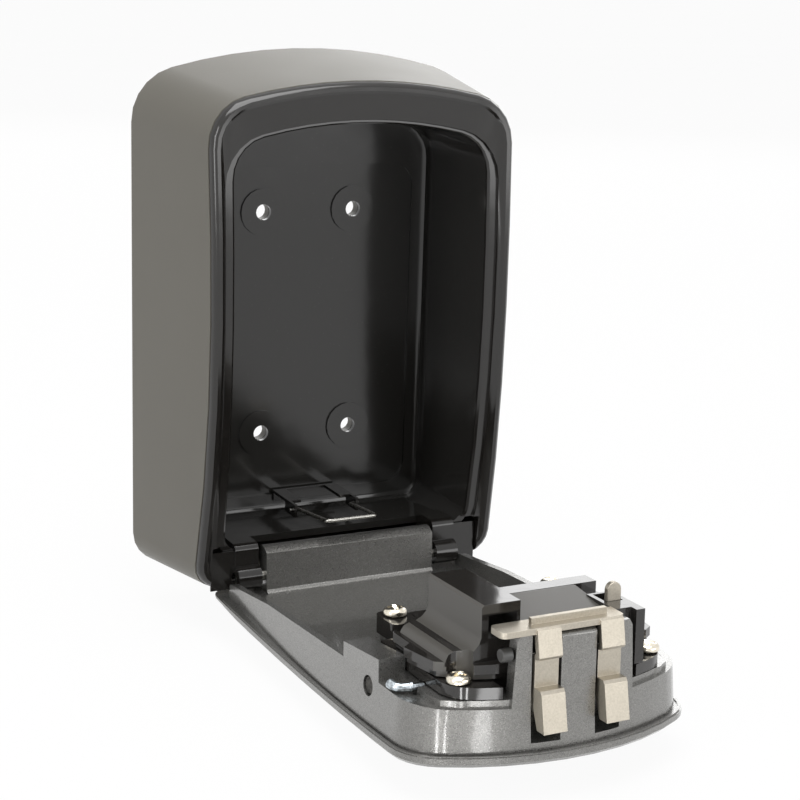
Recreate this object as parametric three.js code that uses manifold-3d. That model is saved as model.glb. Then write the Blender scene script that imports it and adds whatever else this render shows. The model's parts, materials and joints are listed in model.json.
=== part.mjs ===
// Combination key safe, shown with its door swung down.
// Millimetres, +Z up. The wall is the plane Y = 0 and the front faces -Y.
// The door is drawn closed and its group is turned about the hinge pin.
import * as THREE from 'three';
import { mergeVertices } from 'three/addons/utils/BufferGeometryUtils.js';
import Module from 'manifold-3d';

const wasm = await Module();
wasm.setup();

// Fits
const GAP = 0.3;
const RUN = 0.1;
const FAR = 90;

// Body
const BACK_HALF = 52.3;
const BACK_TOP = 73;
const BACK_BOTTOM = -74.3;
const BACK_ARCH = 160;
const DRAFT = 0.185;
const RIM_HALF = 44.2;
const RIM_TOP = 66.4;
const RIM_BOTTOM = -72.4;
const RIM_ARCH = 155;
const RIM_MID_Z = 7.9;
const RIM_MID_DEPTH = 45.16;
const RIM_BOW = 0.0011;
const RIM_SKEW = 1.17;
const SKEW_SPAN = 70;
const SHELL_WALL = 2.2;
const SHELL_BACK = 3;
const BACK_CORNER = 15.5;
const RIM_CORNER = 13.5;
const FOOT_CORNER = 9;
const RIM_FOOT_CORNER = 8;
const EDGE_ROUND = 1.5;

// Liner
const OPENING_HALF = 37.6;
const OPENING_APEX = 55.4;
const OPENING_BOTTOM = -62;
const OPENING_ARCH = 130;
const OPENING_CORNER = 11;
const OPENING_FOOT = 5;
const LINER_WALL = 2;
const LINER_BACK = 1.7;
const LIP = 2.2;
const BEAD_HEIGHT = 0.1;
const STRIP_DROP = 1.5;
const FRAME_DEPTH = 2.4;
const LEDGE_DROP = 0.9;
const LEDGE_WIDE = 3;
const LEDGE_HIGH = 1.2;
const COVE = 2;
const PANEL_HALF = 33;
const PANEL_TOP = 40;
const PANEL_BOTTOM = -57;
const PANEL_CORNER = 6;
const PANEL_RECESS = 0.9;
const FIXING_X = 14;
const FIXING_TOP = 27;
const FIXING_FOOT = -38;
const FIXING_R = 2.3;
const PAD_R = 6.8;
const PAD_RISE = 0.6;
const KEEPER_HALF = 15;
const KEEPER_TOP = 61.2;
const KEEPER_WALL = 2;
const KEEPER_BACK = -10.5;
const LINER_SCREW_X = BACK_HALF - 10.2;
const LINER_SCREW_TOP = 36;
const LINER_SCREW_FOOT = -46;
const LINER_POST_R = 2.6;
const LINER_POST_LENGTH = 14;
const LINER_SCREW_R = 1.2;

// Hinge
const HINGE_Y = -36.1;
const HINGE_Z = -69.9;
const OPEN_ANGLE = 88;
const HINGE_PIN_R = 1.5;
const KNUCKLE_IN = 27.3;
const KNUCKLE_OUT = 34.2;
const KNUCKLE_R = 3.4;
const KNUCKLE_TOP = -60.5;
const KNUCKLE_BACK = -26;
const KNUCKLE_FLOOR = RIM_BOTTOM + SHELL_WALL + GAP + 0.2;
const LEAF_HALF = 25.9;
const LEAF_TIP_Y = -27.6;
const LEAF_FACE = -67.2;
const LEAF_UNDER = -72.4;
const RELIEF_HALF = 41.6;
const RELIEF_BACK = -34.9;
const APRON_THICK = 0.5;
const APRON_FOOT = -73;
const RELIEF_TOP = -60;
const LEAF_WINDOW_BACK = -25.2;

// Bail
const EAR_X = 9.3;
const EAR_THICK = 0.9;
const BAIL_Y = -19.5;
const BAIL_Z = -57.6;
const BAIL_REACH = 19;
const BAIL_RISE = 2;
const BAIL_WIRE = 0.55;
const BAIL_FRONT_HALF = 7.6;

// Door casting
const DOOR_MID_Z = 13;
const DOOR_FRONT = -47.3;
const DOOR_ARC = 740;
const DOOR_SKIN = 2.3;
const FLANGE_HALF = 38.5;
const FLANGE_APEX = 56.6;
const FLANGE_ARCH = 60;
const FLANGE_CORNER = 14;
const FLANGE_FOOT = 4;
const FLANGE_BOTTOM = -73.5;
const FLANGE_EDGE = 0.9;
const CURL_FROM = -58;
const CURL = 0.006;
const SKIN_END = -66;
const TRAY_HALF = 36.4;
const TRAY_WALL = 2;
const TRAY_APEX = 53.7;
const TRAY_ARCH = 62;
const TRAY_CORNER = 14;
const TRAY_DRAFT = 0.07;
const TRAY_FOOT = -69.6;
const WALL_TOP = -33.2;
const WALL_TOP_END = -33.4;
const WALL_TOP_LOW = -34.5;
const WALL_TOP_FOOT = -36.5;
const TOWER_HALF = 16.8;
const TOWER_TOP_HALF = 15.3;
const TOWER_TOP = -16.3;
const TOWER_WALL = 2.3;
const TOWER_ROUND = 2.2;
const TOWER_CHEEK = 48.5;
const PEG_R = 1.6;
const PEG_LENGTH = 2.8;
const PEG_Y = -21;
const PEG_Z = TRAY_APEX - 3.7;
const SLOT_IN = 4.6;
const SLOT_OUT = 11.8;
const SLOT_FLOOR = -41.8;
const SEAT_HALF = 31.5;
const SEAT_TOP = -31.6;
const SEAT_END = 50.5;
const BOSS_IN = -29.5;
const BOSS_FROM = 5.8;
const BOSS_TO = 25;
const PRESSED_R = 2.2;
const PRESSED_Y = -35.7;
const PRESSED_Z = 19.8;

// Dials
const DIAL_Y = -38.9;
const DIAL_Z = 12;
const DIAL_R = 9.4;
const DIAL_WIDTH = 5.2;
const DIAL_PITCH = 7;
const DIAL_BORE = 4.9;
const DIAL_GROOVE = 0.7;
const DIALS = 4;
const SHAFT_R = 2;
const CAVITY_HALF = 15.4;
const CAVITY_WALL = 1.8;
const CAVITY_R = 10.2;
const WINDOW_HALF = 7.6;

// Housing
const BASE_THICK = 2.8;
const BASE_HALF = 29;
const BASE_FROM = 11;
const BASE_END = 50.3;
const BODY_TOP = -24.5;
const COVER_HALF = 31.2;
const COVER_RIM = 2.3;
const COVER_STEP = 0.8;
const TALL_LEFT = -20;
const TALL_RIGHT = -10;
const TALL_FROM = 17.8;
const TALL_TO = 43.8;
const TALL_TOP = -11;
const PLATFORM_TOP = -16.4;
const PLATFORM_TO = 46;
const STRIP_TOP = -14.5;
const BLOCK_LEFT = 12.6;
const BLOCK_RIGHT = 19.5;
const BLOCK_FROM = 36;
const BLOCK_TO = 50.5;
const BLOCK_TOP = -15;
const LEVER_X = 16;
const LEVER_Z = 42;
const LEVER_HALF = 1.9;
const LEVER_THICK = 1.5;
const LEVER_TOP = -10.5;
const LEVER_FOOT = -21.5;
const LEVER_TRAVEL = 4;

// Latch
const LATCH_TRAVEL = 3.1;
const LATCH_THICK = 1.5;
const BAR_FROM = 47.2;
const BAR_TO = 53.5;
const BAR_LEFT = -20.2;
const BAR_RIGHT = 12.1;
const TAB_IN = 5.2;
const TAB_OUT = 11.4;
const HOOK_FRONT = 58;
const HOOK_THICK = 3.2;
const HOOK_TOP = -28.2;
const HOOK_FOOT = -38.2;
const STEM_HALF = 3.5;
const SPRING_X = 8.4;
const SPRING_Y = -25;
const SPRING_R = 2;
const SPRING_WIRE = 0.25;
const SPRING_FROM = 40.4;
const SPRING_TURNS = 6;

// Release slider and shutter
const SLIDER_HALF = 9;
const SLIDER_FROM = 41.2;
const SLIDER_TO = 52;
const SLIDER_THICK = 1.8;
const SHUTTER_HALF = 18;
const SHUTTER_FROM = -26;
const SHUTTER_LENGTH = 25;
const SHUTTER_TRAVEL = 25;
const SHUTTER_THICK = 1.2;
const SHUTTER_BACK = -48.7;
const RAIL_THICK = 2.2;

// Screws: x, z and the face each head sits on
const SCREW_HEAD_R = 2.95;
const SCREW_HEAD = 2;
const SCREW_R = 1.25;
const SCREW_LENGTH = 7;
const EAR_LIFT = 1.8;
const EAR_REACH = 3.9;
const SCREWS = [
  { x: -20, z: 0.5, lift: EAR_LIFT },
  { x: 27, z: -3, lift: EAR_LIFT },
  { x: -25.4, z: 43.4, lift: 0 },
  { x: 25.4, z: 43.4, lift: 0 },
];

const rad = THREE.MathUtils.degToRad;
const vec = (x, y, z) => new THREE.Vector3(x, y, z);
const flat = (x, y) => new THREE.Vector2(x, y);

// Solids
function asSolid(form) {
  if (!form.isBufferGeometry) return form;
  const bare = form.clone();
  bare.deleteAttribute('normal');
  bare.deleteAttribute('uv');
  const merged = mergeVertices(bare, 1e-4);
  const index = [];
  const all = merged.index.array;
  for (let i = 0; i < all.length; i += 3) {
    const [a, b, c] = [all[i], all[i + 1], all[i + 2]];
    if (a !== b && b !== c && c !== a) index.push(a, b, c);
  }
  return new wasm.Manifold(new wasm.Mesh({
    numProp: 3,
    vertProperties: new Float32Array(merged.attributes.position.array),
    triVerts: new Uint32Array(index),
  }));
}

function asGeometry(form) {
  if (form.isBufferGeometry) return form;
  const mesh = form.getMesh();
  const geometry = new THREE.BufferGeometry();
  geometry.setAttribute('position', new THREE.BufferAttribute(mesh.vertProperties, 3));
  geometry.setIndex(new THREE.BufferAttribute(mesh.triVerts, 1));
  geometry.computeVertexNormals();
  return geometry;
}

const join = (...forms) => forms.map(asSolid).reduce((a, b) => a.add(b));
const cut = (base, ...tools) => tools.map(asSolid).reduce((a, b) => a.subtract(b), asSolid(base));
const common = (...forms) => forms.map(asSolid).reduce((a, b) => a.intersect(b));

function box(x0, x1, y0, y1, z0, z1) {
  const form = new THREE.BoxGeometry(x1 - x0, y1 - y0, z1 - z0);
  return form.translate((x0 + x1) / 2, (y0 + y1) / 2, (z0 + z1) / 2);
}

const mirrored = (x0, x1, ...rest) => [box(x0, x1, ...rest), box(-x1, -x0, ...rest)];

function rodX(radius, x0, x1, y, z, sides = 24) {
  const form = new THREE.CylinderGeometry(radius, radius, x1 - x0, sides);
  return form.rotateZ(Math.PI / 2).translate((x0 + x1) / 2, y, z);
}

function rodY(radius, x, y0, y1, z, sides = 16) {
  const form = new THREE.CylinderGeometry(radius, radius, y1 - y0, sides);
  return form.translate(x, (y0 + y1) / 2, z);
}

// An outline in X and Z, pushed along Y
function plate(outline, y0, y1) {
  const form = new THREE.ExtrudeGeometry(new THREE.Shape(outline), { depth: y1 - y0, bevelEnabled: false });
  return form.rotateX(Math.PI / 2).translate(0, y1, 0);
}

// A profile in Y and Z, pushed along X
function profileX(outline, x0, x1) {
  const form = new THREE.ExtrudeGeometry(new THREE.Shape(outline), { depth: x1 - x0, bevelEnabled: false });
  const turn = new THREE.Matrix4().makeBasis(vec(0, 1, 0), vec(0, 0, 1), vec(1, 0, 0));
  return form.applyMatrix4(turn).translate(x0, 0, 0);
}

// A profile in X and Y, pushed along Z
function profileZ(outline, z0, z1) {
  const form = new THREE.ExtrudeGeometry(new THREE.Shape(outline), { depth: z1 - z0, bevelEnabled: false });
  return form.translate(0, 0, z0);
}

function arc(cx, cy, radius, from, to, steps) {
  const points = [];
  for (let i = 0; i <= steps; i += 1) {
    const angle = rad(from + (to - from) * i / steps);
    points.push(flat(cx + radius * Math.cos(angle), cy + radius * Math.sin(angle)));
  }
  return points;
}

// A closed skin through rings that all have as many points
function loft(rings) {
  const count = rings[0].length;
  const position = [];
  rings.forEach((ring) => ring.forEach((p) => position.push(p.x, p.y, p.z)));
  const index = [];
  for (let k = 0; k + 1 < rings.length; k += 1) {
    for (let i = 0; i < count; i += 1) {
      const j = (i + 1) % count;
      const [a, b, c, d] = [k * count + i, k * count + j, (k + 1) * count + j, (k + 1) * count + i];
      index.push(a, c, b, a, d, c);
    }
  }
  const cap = (ring, offset, turned) => {
    const faces = THREE.ShapeUtils.triangulateShape(ring.map((p) => flat(p.x, p.z)), []);
    faces.forEach(([a, b, c]) => {
      if (turned) index.push(offset + a, offset + c, offset + b);
      else index.push(offset + a, offset + b, offset + c);
    });
  };
  cap(rings[0], 0, false);
  cap(rings[rings.length - 1], (rings.length - 1) * count, true);
  const form = new THREE.BufferGeometry();
  form.setAttribute('position', new THREE.Float32BufferAttribute(position, 3));
  form.setIndex(index);
  return facedOut(form);
}

function facedOut(form) {
  const p = form.attributes.position;
  const index = form.index.array;
  const [a, b, c] = [vec(), vec(), vec()];
  let volume = 0;
  for (let i = 0; i < index.length; i += 3) {
    a.fromBufferAttribute(p, index[i]);
    b.fromBufferAttribute(p, index[i + 1]);
    c.fromBufferAttribute(p, index[i + 2]);
    volume += a.dot(b.cross(c));
  }
  if (volume < 0) {
    for (let i = 0; i < index.length; i += 3) [index[i], index[i + 1]] = [index[i + 1], index[i]];
  }
  return form;
}

// An upright outline with an arched head and four round corners
function archOutline({ half, top, arch, bottom, corner, foot }) {
  const centre = top - arch;
  const cornerZ = centre + Math.sqrt((arch - corner) ** 2 - (half - corner) ** 2);
  const turn = THREE.MathUtils.radToDeg(Math.atan2(cornerZ - centre, half - corner));
  const cornerSteps = 5;
  const sideSteps = 5;
  const headSteps = 9;
  const right = arc(half - foot, bottom + foot, foot, -90, 0, cornerSteps);
  for (let i = 1; i < sideSteps; i += 1) {
    right.push(flat(half, bottom + foot + (cornerZ - bottom - foot) * i / sideSteps));
  }
  right.push(...arc(half - corner, cornerZ, corner, 0, turn, cornerSteps));
  const head = arc(0, centre, arch, turn, 180 - turn, headSteps).slice(1, -1);
  const left = right.map((p) => flat(-p.x, p.y)).reverse();
  return [...right, ...head, ...left];
}

const rimDepth = (z) => RIM_MID_DEPTH - RIM_BOW * (z - RIM_MID_Z) ** 2
  + RIM_SKEW * ((z - RIM_MID_Z) / SKEW_SPAN) ** 3;

// How much wider a line on the drafted sides is where the rim lies nearer the wall
const flare = (z) => DRAFT * (RIM_MID_DEPTH - rimDepth(z));

// A ring on the drafted body, inset from its outer skin, at a depth from the wall
function bodyRing(inset, depthOf) {
  const back = archOutline({
    half: BACK_HALF - inset,
    top: BACK_TOP - inset,
    arch: BACK_ARCH - inset,
    bottom: BACK_BOTTOM + inset,
    corner: BACK_CORNER - inset,
    foot: FOOT_CORNER - inset,
  });
  const rim = archOutline({
    half: RIM_HALF - inset,
    top: RIM_TOP - inset,
    arch: RIM_ARCH - inset,
    bottom: RIM_BOTTOM + inset,
    corner: RIM_CORNER - inset,
    foot: RIM_FOOT_CORNER - inset,
  });
  return back.map((b, i) => {
    const r = rim[i];
    const depth = depthOf(rimDepth(r.y));
    const t = depth / rimDepth(r.y);
    const wide = r.x + Math.sign(r.x) * flare(r.y) * Math.abs(r.x) / RIM_HALF;
    return vec(b.x + (wide - b.x) * t, -depth, b.y + (r.y - b.y) * t);
  });
}

// A ring on the opening, widened all round, and at its head by a rise of its own where that differs
function openingRing(grow, depthOf, rise = grow) {
  const outline = archOutline({
    half: OPENING_HALF + grow,
    top: OPENING_APEX + rise,
    arch: OPENING_ARCH + grow,
    bottom: OPENING_BOTTOM - grow,
    corner: OPENING_CORNER + grow,
    foot: OPENING_FOOT + grow,
  });
  return outline.map((p) => vec(p.x, -depthOf(rimDepth(p.y)), p.y));
}

const colours = {
  shell: { color: 0x6a675f, roughness: 0.5, metalness: 0.25 },
  liner: { color: 0x1c1b19, roughness: 0.12, metalness: 0 },
  casting: { color: 0x6f6c66, roughness: 0.35, metalness: 0.75 },
  black: { color: 0x151413, roughness: 0.1, metalness: 0 },
  nickel: { color: 0xd8d0c0, roughness: 0.25, metalness: 1 },
  steel: { color: 0xa3a39f, roughness: 0.3, metalness: 1 },
  zinc: { color: 0xb4bcc4, roughness: 0.3, metalness: 1 },
  dial: { color: 0x2a2928, roughness: 0.45, metalness: 0 },
};

const mesh = (name, form, finish) => {
  const made = new THREE.Mesh(asGeometry(form), new THREE.MeshStandardMaterial(colours[finish]));
  made.name = name;
  return made;
};

// Body pieces
function hingeRelief() {
  const pocket = box(-RELIEF_HALF, RELIEF_HALF, -FAR, RELIEF_BACK, -FAR, RELIEF_TOP);
  const window = box(-KNUCKLE_IN, KNUCKLE_IN, -FAR, LEAF_WINDOW_BACK, -FAR, RELIEF_TOP);
  return join(pocket, window);
}

function linerScrewPlaces() {
  return [LINER_SCREW_TOP, LINER_SCREW_FOOT].flatMap((z) => [[-LINER_SCREW_X, z], [LINER_SCREW_X, z]]);
}

function fixingPlaces() {
  return [FIXING_TOP, FIXING_FOOT].flatMap((z) => [[-FIXING_X, z], [FIXING_X, z]]);
}

function countersink(x, z, reach) {
  const profile = [
    flat(0, EDGE_ROUND),
    flat(LINER_SCREW_R * 2 + GAP + RUN, EDGE_ROUND),
    flat(LINER_SCREW_R * 2 + GAP + RUN, 0),
    flat(LINER_SCREW_R + RUN, -LINER_SCREW_R - RUN),
    flat(LINER_SCREW_R + RUN, -reach),
    flat(0, -reach),
  ];
  return new THREE.LatheGeometry(profile.reverse(), 16).translate(x, 0, z);
}

function outerShell() {
  const rings = [
    bodyRing(EDGE_ROUND, () => 0),
    bodyRing(EDGE_ROUND * 0.3, () => EDGE_ROUND * 0.3),
    bodyRing(0, () => EDGE_ROUND),
    bodyRing(0, (rim) => rim - FRAME_DEPTH),
    bodyRing(SHELL_WALL, (rim) => rim - FRAME_DEPTH),
    bodyRing(SHELL_WALL, () => SHELL_BACK),
  ];
  const fixings = fixingPlaces().map(([x, z]) => rodY(FIXING_R, x, -FAR, 1, z));
  const screws = linerScrewPlaces().map(([x, z]) => countersink(x, z, SHELL_BACK + 1));
  const barrels = rodX(KNUCKLE_R + GAP, KNUCKLE_IN - GAP, KNUCKLE_OUT + GAP, HINGE_Y, HINGE_Z);
  const barrelsLeft = rodX(KNUCKLE_R + GAP, -KNUCKLE_OUT - GAP, GAP - KNUCKLE_IN, HINGE_Y, HINGE_Z);
  return cut(loft(rings), hingeRelief(), barrels, barrelsLeft, ...fixings, ...screws);
}

function keeperPocket() {
  const hookGap = 0.4;
  const side = TAB_OUT + 1.2;
  const top = HOOK_FRONT + 1.2;
  return mirrored(TAB_IN - 1.2, side, HOOK_FOOT - hookGap, KEEPER_BACK - KEEPER_WALL, 0, top);
}

function knuckles() {
  return [-1, 1].map((side) => {
    const [x0, x1] = side < 0 ? [-KNUCKLE_OUT, -KNUCKLE_IN] : [KNUCKLE_IN, KNUCKLE_OUT];
    const round = 2;
    const outline = [
      flat(KNUCKLE_BACK, KNUCKLE_FLOOR),
      flat(KNUCKLE_BACK, KNUCKLE_TOP),
      ...arc(HINGE_Y + round, KNUCKLE_TOP - round, round, 90, 180, 5),
      flat(HINGE_Y, KNUCKLE_FLOOR),
    ];
    return join(profileX(outline.reverse(), x0, x1), rodX(KNUCKLE_R, x0, x1, HINGE_Y, HINGE_Z));
  });
}

function innerLiner() {
  const clear = SHELL_WALL + GAP;
  const back = SHELL_BACK + GAP;
  const edge = 0.2;
  const ledge = (rim) => rim - STRIP_DROP - LEDGE_DROP;
  const rings = [
    openingRing(LINER_WALL, () => back),
    openingRing(LINER_WALL, (rim) => rim - STRIP_DROP - LIP),
    bodyRing(clear, (rim) => rim - STRIP_DROP - LIP),
    bodyRing(clear, (rim) => rim - FRAME_DEPTH + GAP),
    bodyRing(edge, (rim) => rim - FRAME_DEPTH + GAP),
    bodyRing(edge, (rim) => rim - 1.2),
    bodyRing(edge + 0.35, (rim) => rim - 0.35),
    bodyRing(edge + 1, (rim) => rim + BEAD_HEIGHT),
    bodyRing(edge + 2, (rim) => rim),
    bodyRing(edge + 2.8, (rim) => rim - 0.6),
    openingRing(LEDGE_WIDE, (rim) => rim - STRIP_DROP, LEDGE_HIGH),
    openingRing(LEDGE_WIDE - 0.3, ledge, LEDGE_HIGH - 0.2),
    openingRing(0.7, ledge, 0.5),
    openingRing(0.1, (rim) => ledge(rim) - 0.5),
    openingRing(0, (rim) => ledge(rim) - 1.2),
    openingRing(0, () => back + LINER_BACK + COVE),
    openingRing(-COVE * 0.3, () => back + LINER_BACK + COVE * 0.3),
    openingRing(-COVE, () => back + LINER_BACK),
  ];
  const keeperFront = -ledge(rimDepth(OPENING_APEX)) + GAP;
  const keeper = box(-KEEPER_HALF, KEEPER_HALF, keeperFront, KEEPER_BACK, OPENING_APEX, KEEPER_TOP);
  const posts = linerScrewPlaces().map(([x, z]) => {
    return rodY(LINER_POST_R, x, -back - LINER_POST_LENGTH, -back, z);
  });
  const recessOutline = roundedRect(-PANEL_HALF, PANEL_HALF, PANEL_BOTTOM, PANEL_TOP, PANEL_CORNER);
  const recessFloor = -back - LINER_BACK + PANEL_RECESS;
  const recess = cut(
    plate(recessOutline, -FAR / 2, recessFloor),
    ...fixingPlaces().map(([x, z]) => rodY(PAD_R, x, recessFloor - PAD_RISE, 0, z, 20)),
  );
  const compartment = loft([openingRing(0, () => back), openingRing(0, () => FAR)]);
  const fixings = fixingPlaces().map(([x, z]) => rodY(FIXING_R, x, -FAR, 1, z));
  const screwHoles = linerScrewPlaces().map(([x, z]) => {
    return rodY(LINER_SCREW_R + RUN, x, -back - LINER_POST_LENGTH + 2, 1, z);
  });
  const skin = cut(loft(rings), hingeRelief(), common(recess, compartment), ...fixings);
  const apronBack = RELIEF_BACK - GAP;
  const apronFront = apronBack - APRON_THICK;
  const shellCorner = RELIEF_HALF - 2.1;
  const aprons = [
    ...mirrored(KNUCKLE_IN, RELIEF_HALF - GAP, apronFront, apronBack, APRON_FOOT, OPENING_BOTTOM),
    ...mirrored(KNUCKLE_IN, shellCorner, apronFront, RELIEF_BACK + 1, KNUCKLE_FLOOR, OPENING_BOTTOM - GAP),
  ];
  const solid = join(skin, ...posts, keeper, ...knuckles(), ...aprons);
  const inside = box(-PANEL_HALF, PANEL_HALF, -FAR, KEEPER_BACK, 0, OPENING_APEX);
  const bores = rodX(HINGE_PIN_R + RUN, -KNUCKLE_OUT - 1, KNUCKLE_OUT + 1, HINGE_Y, HINGE_Z);
  return cut(solid, common(inside, compartment), ...keeperPocket(), ...screwHoles, bores);
}

function roundedRect(x0, x1, z0, z1, radius, steps = 4) {
  return [
    ...arc(x1 - radius, z0 + radius, radius, -90, 0, steps),
    ...arc(x1 - radius, z1 - radius, radius, 0, 90, steps),
    ...arc(x0 + radius, z1 - radius, radius, 90, 180, steps),
    ...arc(x0 + radius, z0 + radius, radius, 180, 270, steps),
  ];
}

function linerScrew([x, z]) {
  const length = LINER_POST_LENGTH - 2;
  const profile = [
    flat(0, -length),
    flat(LINER_SCREW_R - RUN, -length),
    flat(LINER_SCREW_R - RUN, -LINER_SCREW_R - RUN),
    flat(LINER_SCREW_R * 2, -RUN),
    flat(0, -RUN),
  ];
  const slot = 0.5;
  const screw = new THREE.LatheGeometry(profile, 16).translate(x, -GAP / 2, z);
  return cut(screw, box(x - FIXING_R, x + FIXING_R, -1, 1, z - slot / 2, z + slot / 2));
}

function bailBracket() {
  const face = -(SHELL_BACK + GAP + LINER_BACK);
  const armIn = 6.2;
  const armTop = BAIL_Z + 2;
  const earOut = EAR_X + EAR_THICK;
  const strip = box(-earOut, earOut, face - EAR_THICK, face, BAIL_Z - 1.3, armTop);
  const arms = mirrored(armIn, earOut, BAIL_Y + 2.5, face - EAR_THICK / 2, armTop - EAR_THICK, armTop);
  const ears = mirrored(EAR_X, earOut, BAIL_Y - 2, BAIL_Y + 5, BAIL_Z - 1.8, armTop);
  const bore = rodX(BAIL_WIRE + 2 * RUN, -FAR, FAR, BAIL_Y, BAIL_Z, 12);
  return cut(join(strip, ...arms, ...ears), bore);
}

function wireBail() {
  const inner = EAR_X - 1.1;
  const outer = EAR_X + EAR_THICK + 0.7;
  const bend = 1.4;
  const corners = [
    vec(-outer, BAIL_Y, BAIL_Z),
    vec(-inner, BAIL_Y, BAIL_Z),
    vec(-BAIL_FRONT_HALF, BAIL_Y - BAIL_REACH, BAIL_Z + BAIL_RISE),
    vec(BAIL_FRONT_HALF, BAIL_Y - BAIL_REACH, BAIL_Z + BAIL_RISE),
    vec(inner, BAIL_Y, BAIL_Z),
    vec(outer, BAIL_Y, BAIL_Z),
  ];
  return wire(corners, bend, BAIL_WIRE, 8);
}

// A round wire through corners, each bent to a small curve
function wire(corners, bend, radius, sides) {
  const points = [corners[0]];
  for (let i = 1; i + 1 < corners.length; i += 1) {
    const before = corners[i - 1].clone().sub(corners[i]);
    const after = corners[i + 1].clone().sub(corners[i]);
    const reach = Math.min(bend, before.length() / 2.2, after.length() / 2.2);
    const curve = new THREE.QuadraticBezierCurve3(
      corners[i].clone().add(before.setLength(reach)),
      corners[i],
      corners[i].clone().add(after.setLength(reach)),
    );
    points.push(...curve.getPoints(5));
  }
  points.push(corners[corners.length - 1]);
  return tube(points, () => radius, sides);
}

// A closed tube through points, its section carried along without twist
function tube(points, radiusAt, sides) {
  const tangentAt = (i) => {
    const from = points[Math.max(i - 1, 0)];
    const to = points[Math.min(i + 1, points.length - 1)];
    return to.clone().sub(from).normalize();
  };
  let normal = vec(0, 0, 1);
  if (Math.abs(tangentAt(0).dot(normal)) > 0.9) normal = vec(0, 1, 0);
  const position = [];
  points.forEach((point, i) => {
    const tangent = tangentAt(i);
    normal = normal.clone().sub(tangent.clone().multiplyScalar(normal.dot(tangent))).normalize();
    const side = tangent.clone().cross(normal);
    for (let k = 0; k < sides; k += 1) {
      const angle = 2 * Math.PI * k / sides;
      const reach = normal.clone().multiplyScalar(Math.cos(angle) * radiusAt(i));
      const p = point.clone().add(reach).add(side.clone().multiplyScalar(Math.sin(angle) * radiusAt(i)));
      position.push(p.x, p.y, p.z);
    }
  });
  const index = [];
  for (let i = 0; i + 1 < points.length; i += 1) {
    for (let k = 0; k < sides; k += 1) {
      const n = (k + 1) % sides;
      const [a, b] = [i * sides + k, i * sides + n];
      index.push(a, b, b + sides, a, b + sides, a + sides);
    }
  }
  const last = (points.length - 1) * sides;
  for (let k = 1; k + 1 < sides; k += 1) {
    index.push(0, k + 1, k, last, last + k, last + k + 1);
  }
  const form = new THREE.BufferGeometry();
  form.setAttribute('position', new THREE.Float32BufferAttribute(position, 3));
  form.setIndex(index);
  return facedOut(form);
}

// Door pieces
const doorFace = (z) => DOOR_FRONT + (z - DOOR_MID_Z) ** 2 / (2 * DOOR_ARC);

// A slab that follows the bowed door front, between two heights above it
function doorSlab(low, high, z0, z1, half, faceAt = doorFace) {
  const steps = 16;
  const line = (lift, at) => Array.from({ length: steps + 1 }, (unused, i) => {
    const z = z0 + (z1 - z0) * i / steps;
    return flat(at(z) + lift, z);
  });
  return profileX([...line(low, faceAt), ...line(high, doorFace).reverse()].reverse(), -half, half);
}

// The front skin rolls inwards at its foot
const curledFace = (z) => doorFace(z) + CURL * Math.max(0, CURL_FROM - z) ** 2;

function flangeOutline(grow) {
  const outline = archOutline({
    half: FLANGE_HALF + grow,
    top: FLANGE_APEX + grow,
    arch: FLANGE_ARCH + grow,
    bottom: FLANGE_BOTTOM - grow,
    corner: FLANGE_CORNER + grow,
    foot: FLANGE_FOOT + grow,
  });
  return outline.map((p) => flat(p.x + Math.sign(p.x) * flare(p.y) * Math.abs(p.x) / FLANGE_HALF, p.y));
}

// The front skin with its flange and a chamfer along the outer edge
function flangePanel() {
  const ring = (grow, yAt) => flangeOutline(grow).map((p) => vec(p.x, yAt(p.y), p.y));
  const blank = loft([
    ring(-FLANGE_EDGE, () => -FAR),
    ring(-FLANGE_EDGE, curledFace),
    ring(0, (z) => curledFace(z) + FLANGE_EDGE),
    ring(0, () => 0),
  ]);
  return common(blank, doorSlab(0, DOOR_SKIN, FLANGE_BOTTOM - 1, FLANGE_APEX + 1, FAR, curledFace));
}

// A ring on the tray's outer skin, which widens towards the floor
function trayRing(inset, foot, y) {
  const grow = TRAY_DRAFT * Math.max(0, WALL_TOP - y) - inset;
  const outline = archOutline({
    half: TRAY_HALF + grow,
    top: TRAY_APEX + grow,
    arch: TRAY_ARCH + grow,
    bottom: foot,
    corner: TRAY_CORNER + grow,
    foot: 2,
  });
  return outline.map((p) => vec(p.x, y, p.y));
}

const trayBlock = (inset, foot) => loft([DOOR_FRONT - 3, WALL_TOP, 0].map((y) => trayRing(inset, foot, y)));

function trayWalls() {
  const ring = cut(trayBlock(0, TRAY_FOOT), trayBlock(TRAY_WALL, -FAR));
  const bossNotch = 0.8;
  const endRise = 41;
  const top = [
    flat(WALL_TOP_FOOT - 3.6, TRAY_FOOT),
    flat(WALL_TOP_FOOT - 1.7, TRAY_FOOT + 0.5),
    flat(WALL_TOP_FOOT - 0.5, TRAY_FOOT + 1.7),
    flat(WALL_TOP_FOOT, TRAY_FOOT + 3.6),
    flat(WALL_TOP_FOOT + 0.3, TRAY_FOOT + 9.6),
    flat(WALL_TOP_LOW, -41),
    flat(WALL_TOP, BOSS_FROM - bossNotch),
    flat(WALL_TOP, endRise),
    flat(WALL_TOP_END, endRise + 5),
    flat(WALL_TOP_END, TRAY_APEX + 5),
  ];
  const steps = 12;
  const bottom = Array.from({ length: steps + 1 }, (unused, i) => {
    const z = TRAY_APEX + 5 + (TRAY_FOOT - TRAY_APEX - 5) * i / steps;
    return flat(doorFace(z) + DOOR_SKIN / 2, z);
  });
  return common(ring, profileX([...top, ...bottom].reverse(), -FAR, FAR));
}

function towerHalf(y) {
  const foot = doorFace(TRAY_APEX) + 1;
  return TOWER_HALF + (TOWER_TOP_HALF - TOWER_HALF) * (y - foot) / (TOWER_TOP - 1.5 - foot);
}

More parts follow.
